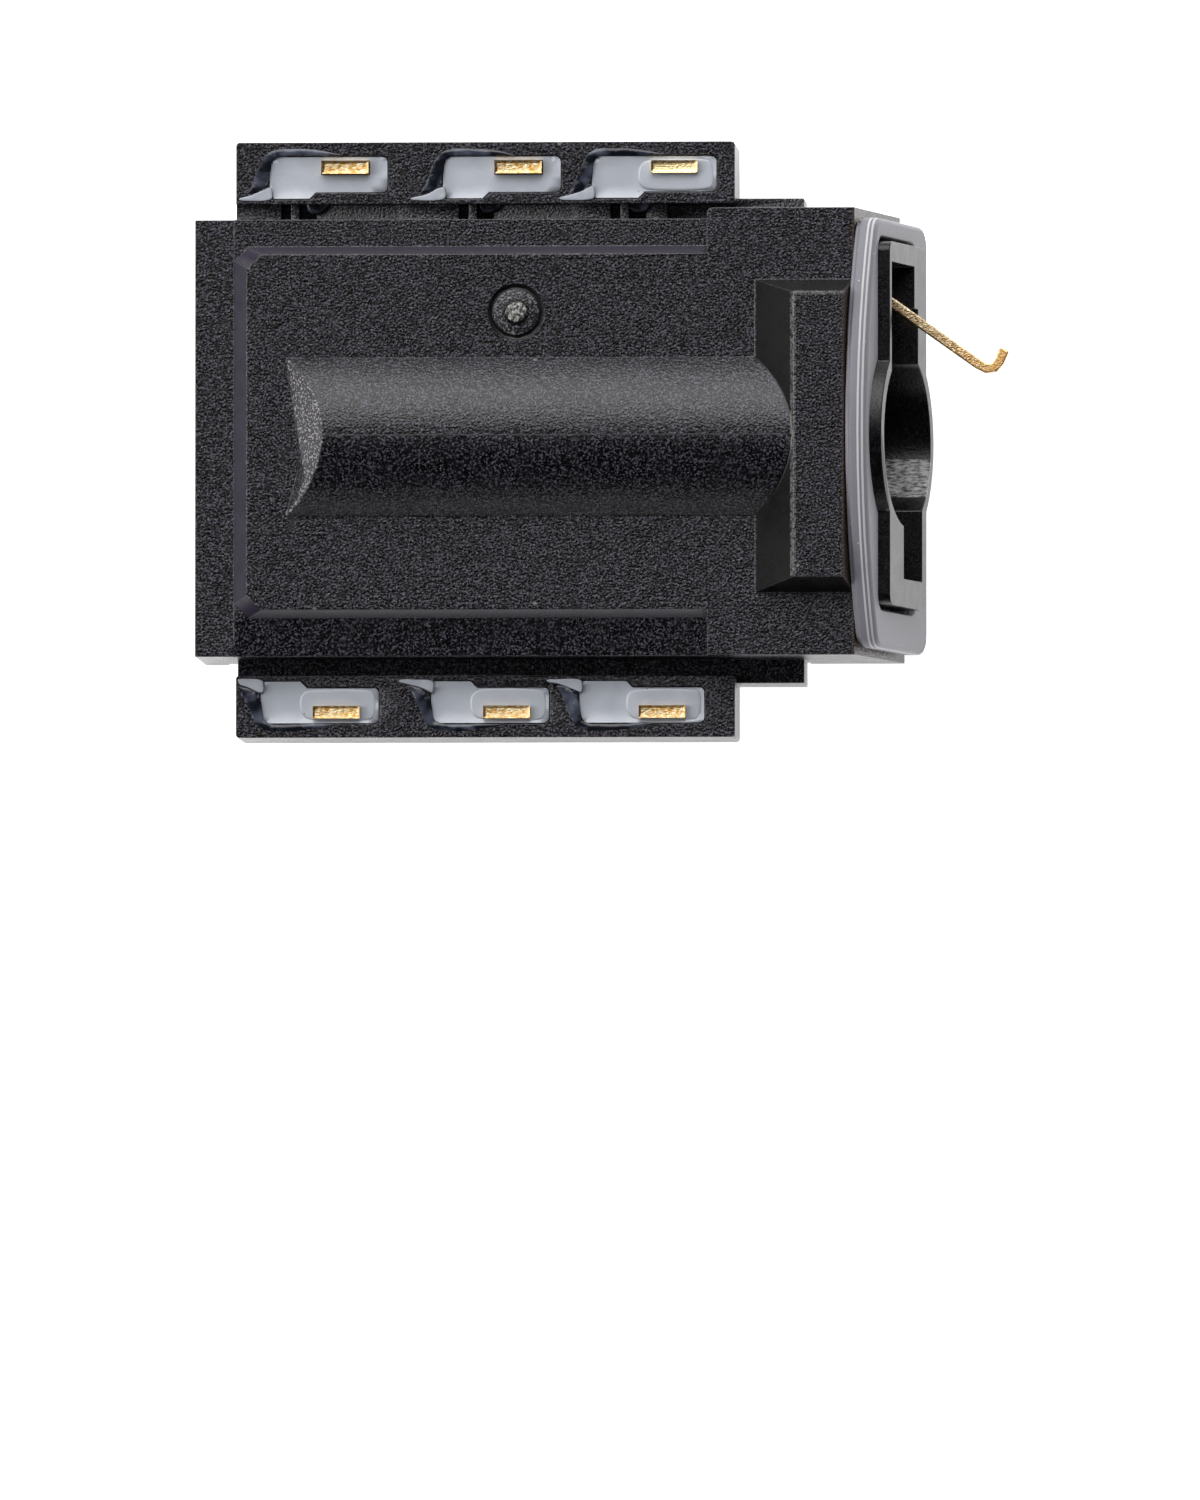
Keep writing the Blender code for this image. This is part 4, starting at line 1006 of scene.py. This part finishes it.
# %% Outlines
SPILL = ((0.06, -0.05), (-0.20, -0.06), (-0.48, -0.06), (-0.68, -0.05), (-0.69, 0.02), (-0.52, 0.05),
         (-0.36, 0.09), (-0.22, 0.14), (-0.10, 0.20), (0.02, 0.26), (0.07, 0.20), (0.07, 0.06))
WET_PATH = ((-0.46, 0.10), (-0.30, 0.19), (-0.17, 0.36), (-0.11, 0.60), (-0.05, 0.84), (0.12, 0.94),
            (0.38, 0.95), (0.68, 0.95), (0.98, 0.93), (1.28, 0.90), (1.50, 0.88))
WET_WIDTHS = (0.03, 0.12, 0.18, 0.14, 0.11, 0.09, 0.08, 0.08, 0.07, 0.05, 0.02)
SECOND_DROP = ((-0.72, 0.16), (-0.30, 0.13), (0.30, 0.13), (0.72, 0.15), (0.82, 0.24), (0.83, 0.50),
               (0.80, 0.74), (0.66, 0.82), (0.20, 0.83), (-0.40, 0.82), (-0.70, 0.76), (-0.78, 0.46))
RUN_OVER = ((0.82, 0.16), (0.70, -0.02), (0.72, -0.22), (0.86, -0.34), (1.06, -0.32), (1.20, -0.16),
            (1.26, 0.04), (1.12, 0.17))
SPILL_LAYER = {"base_level": WING_TOP - 0.05 * MM, "height": 0.075 * MM, "rim": 0.012 * MM}
WET_LAYER = {"base_level": WING_TOP - 0.006 * MM, "height": 0.024 * MM}
SECOND_LAYER = {"base_level": WING_TOP - 0.12 * MM, "height": 0.085 * MM}
RUN_OVER_LAYER = {"base_level": WING_TOP - 0.33 * MM, "height": 0.16 * MM}
SPILL_WANDER, WET_WANDER = 0.015 * MM, 0.012 * MM
SECOND_WANDER, RUN_OVER_WANDER = 0.012 * MM, 0.03 * MM
PIN_FROM_FRONT = 0.86 * MM
KEEP_ON_WING = 0.04 * MM


def on_wing(points, from_x, from_y, side):
    """Points in millimetres behind and beside a well, as places on its wing."""
    return [(max(from_x + u * MM, WING_REAR + KEEP_ON_WING), side * (from_y + v * MM)) for u, v in points]


print("outlines:", len(SPILL), len(WET_PATH), len(SECOND_DROP), len(RUN_OVER), "points")

# %% Drops beside each well
for seed, node_name in enumerate(resin_nodes):
    low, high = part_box(node_name)
    well = node_name.replace("resin_", "")
    side = 1 if "left" in node_name else -1
    inner = min(abs(low.y), abs(high.y))

    outline = wobble(on_wing(SPILL, low.x, inner, side), SPILL_WANDER, seed)
    add_drop("spill_" + well, outline, resin_thin, "milky_resin", **SPILL_LAYER)
    path = wobble(on_wing(WET_PATH, low.x, inner, side), WET_WANDER, seed + 10)
    widths = [width * MM for width in WET_WIDTHS]
    add_bead("wet_edge_" + well, path, widths, resin_clear, "black_moulding", **WET_LAYER)
    if side < 0 or "front" in node_name:
        pin_x = high.x - PIN_FROM_FRONT
        outline = wobble(on_wing(SECOND_DROP, pin_x, inner, side), SECOND_WANDER, seed + 20)
        add_drop("second_drop_" + well, outline, resin_milky, "milky_resin", **SECOND_LAYER)
    if side > 0:
        outline = wobble(on_wing(RUN_OVER, low.x, inner, side), RUN_OVER_WANDER, seed + 30)
        add_drop("run_over_" + well, outline, resin_clear, "black_moulding", **RUN_OVER_LAYER)

# %% [markdown]
# ## The contacts
#
# Each live contact is a sheared strip of gold-plated bronze. Where it stands up through the
# resin, its end was cut off: the cut leaves a raised rim round a rougher core. So the top
# face of each terminal is inset and sunk a little. The leaves inside the bore ride on
# their own bodies, because the plug pushes each of them on its own.

# %% Contacts
END_RIM = 0.045 * MM
END_SINK = 0.05 * MM
CONTACT_ROUNDING = 0.012 * MM
FACES_UP = 0.9


def sink_end(piece, top):
    """Inset the face at a level and sink it, as a shear leaves a cut end."""
    select_only(piece)
    bpy.ops.object.mode_set(mode="EDIT")
    bpy.ops.mesh.select_mode(type="FACE")
    bpy.ops.mesh.select_all(action="DESELECT")
    bpy.ops.object.mode_set(mode="OBJECT")
    for face in piece.data.polygons:
        face.select = face.normal.z > FACES_UP and face.center.z > top - AT_THE_TOP
    bpy.ops.object.mode_set(mode="EDIT")
    bpy.ops.mesh.inset(thickness=END_RIM)
    bpy.ops.transform.translate(value=(0, 0, -END_SINK))
    bpy.ops.object.mode_set(mode="OBJECT")


for node_name in sorted(name for name in nodes if name.startswith(("terminal_", "spring_"))):
    contact = copy_node(node_name, node_name + "_dressed")
    if node_name.startswith("terminal_"):
        sink_end(contact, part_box(node_name)[1].z)
    round_edges(contact, CONTACT_ROUNDING)
    body = "socket" if node_name.startswith("terminal_") else node_name.replace("spring_", "leaf_")
    finish_piece(contact, node_name, body, gold_bright)

# %% [markdown]
# ## The bent contact
#
# The sixth contact was torn out of its guide by a plug, and its tip stands out of the
# mouth. It is a flat strip too, so its bends show creases: its edges are only eased, and
# its plating is duller and scratched where it was dragged. The pull drew it a little
# thinner, so the leaf of its copy is shrunk along its normals.

# %% Bent contact
BENT_DRAW = 0.03 * MM
BENT_ROUNDING = 0.03 * MM

bent = copy_node("contact_bent", "bent_contact_dressed")
sink_end(bent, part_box("contact_bent")[1].z)
for vertex in bent.data.vertices:
    if vertex.co.x > LEAF_ROOT:
        vertex.co -= vertex.normal * BENT_DRAW
round_edges(bent, BENT_ROUNDING)
finish_piece(bent, "contact_bent", "socket", gold_worn, angle=20)
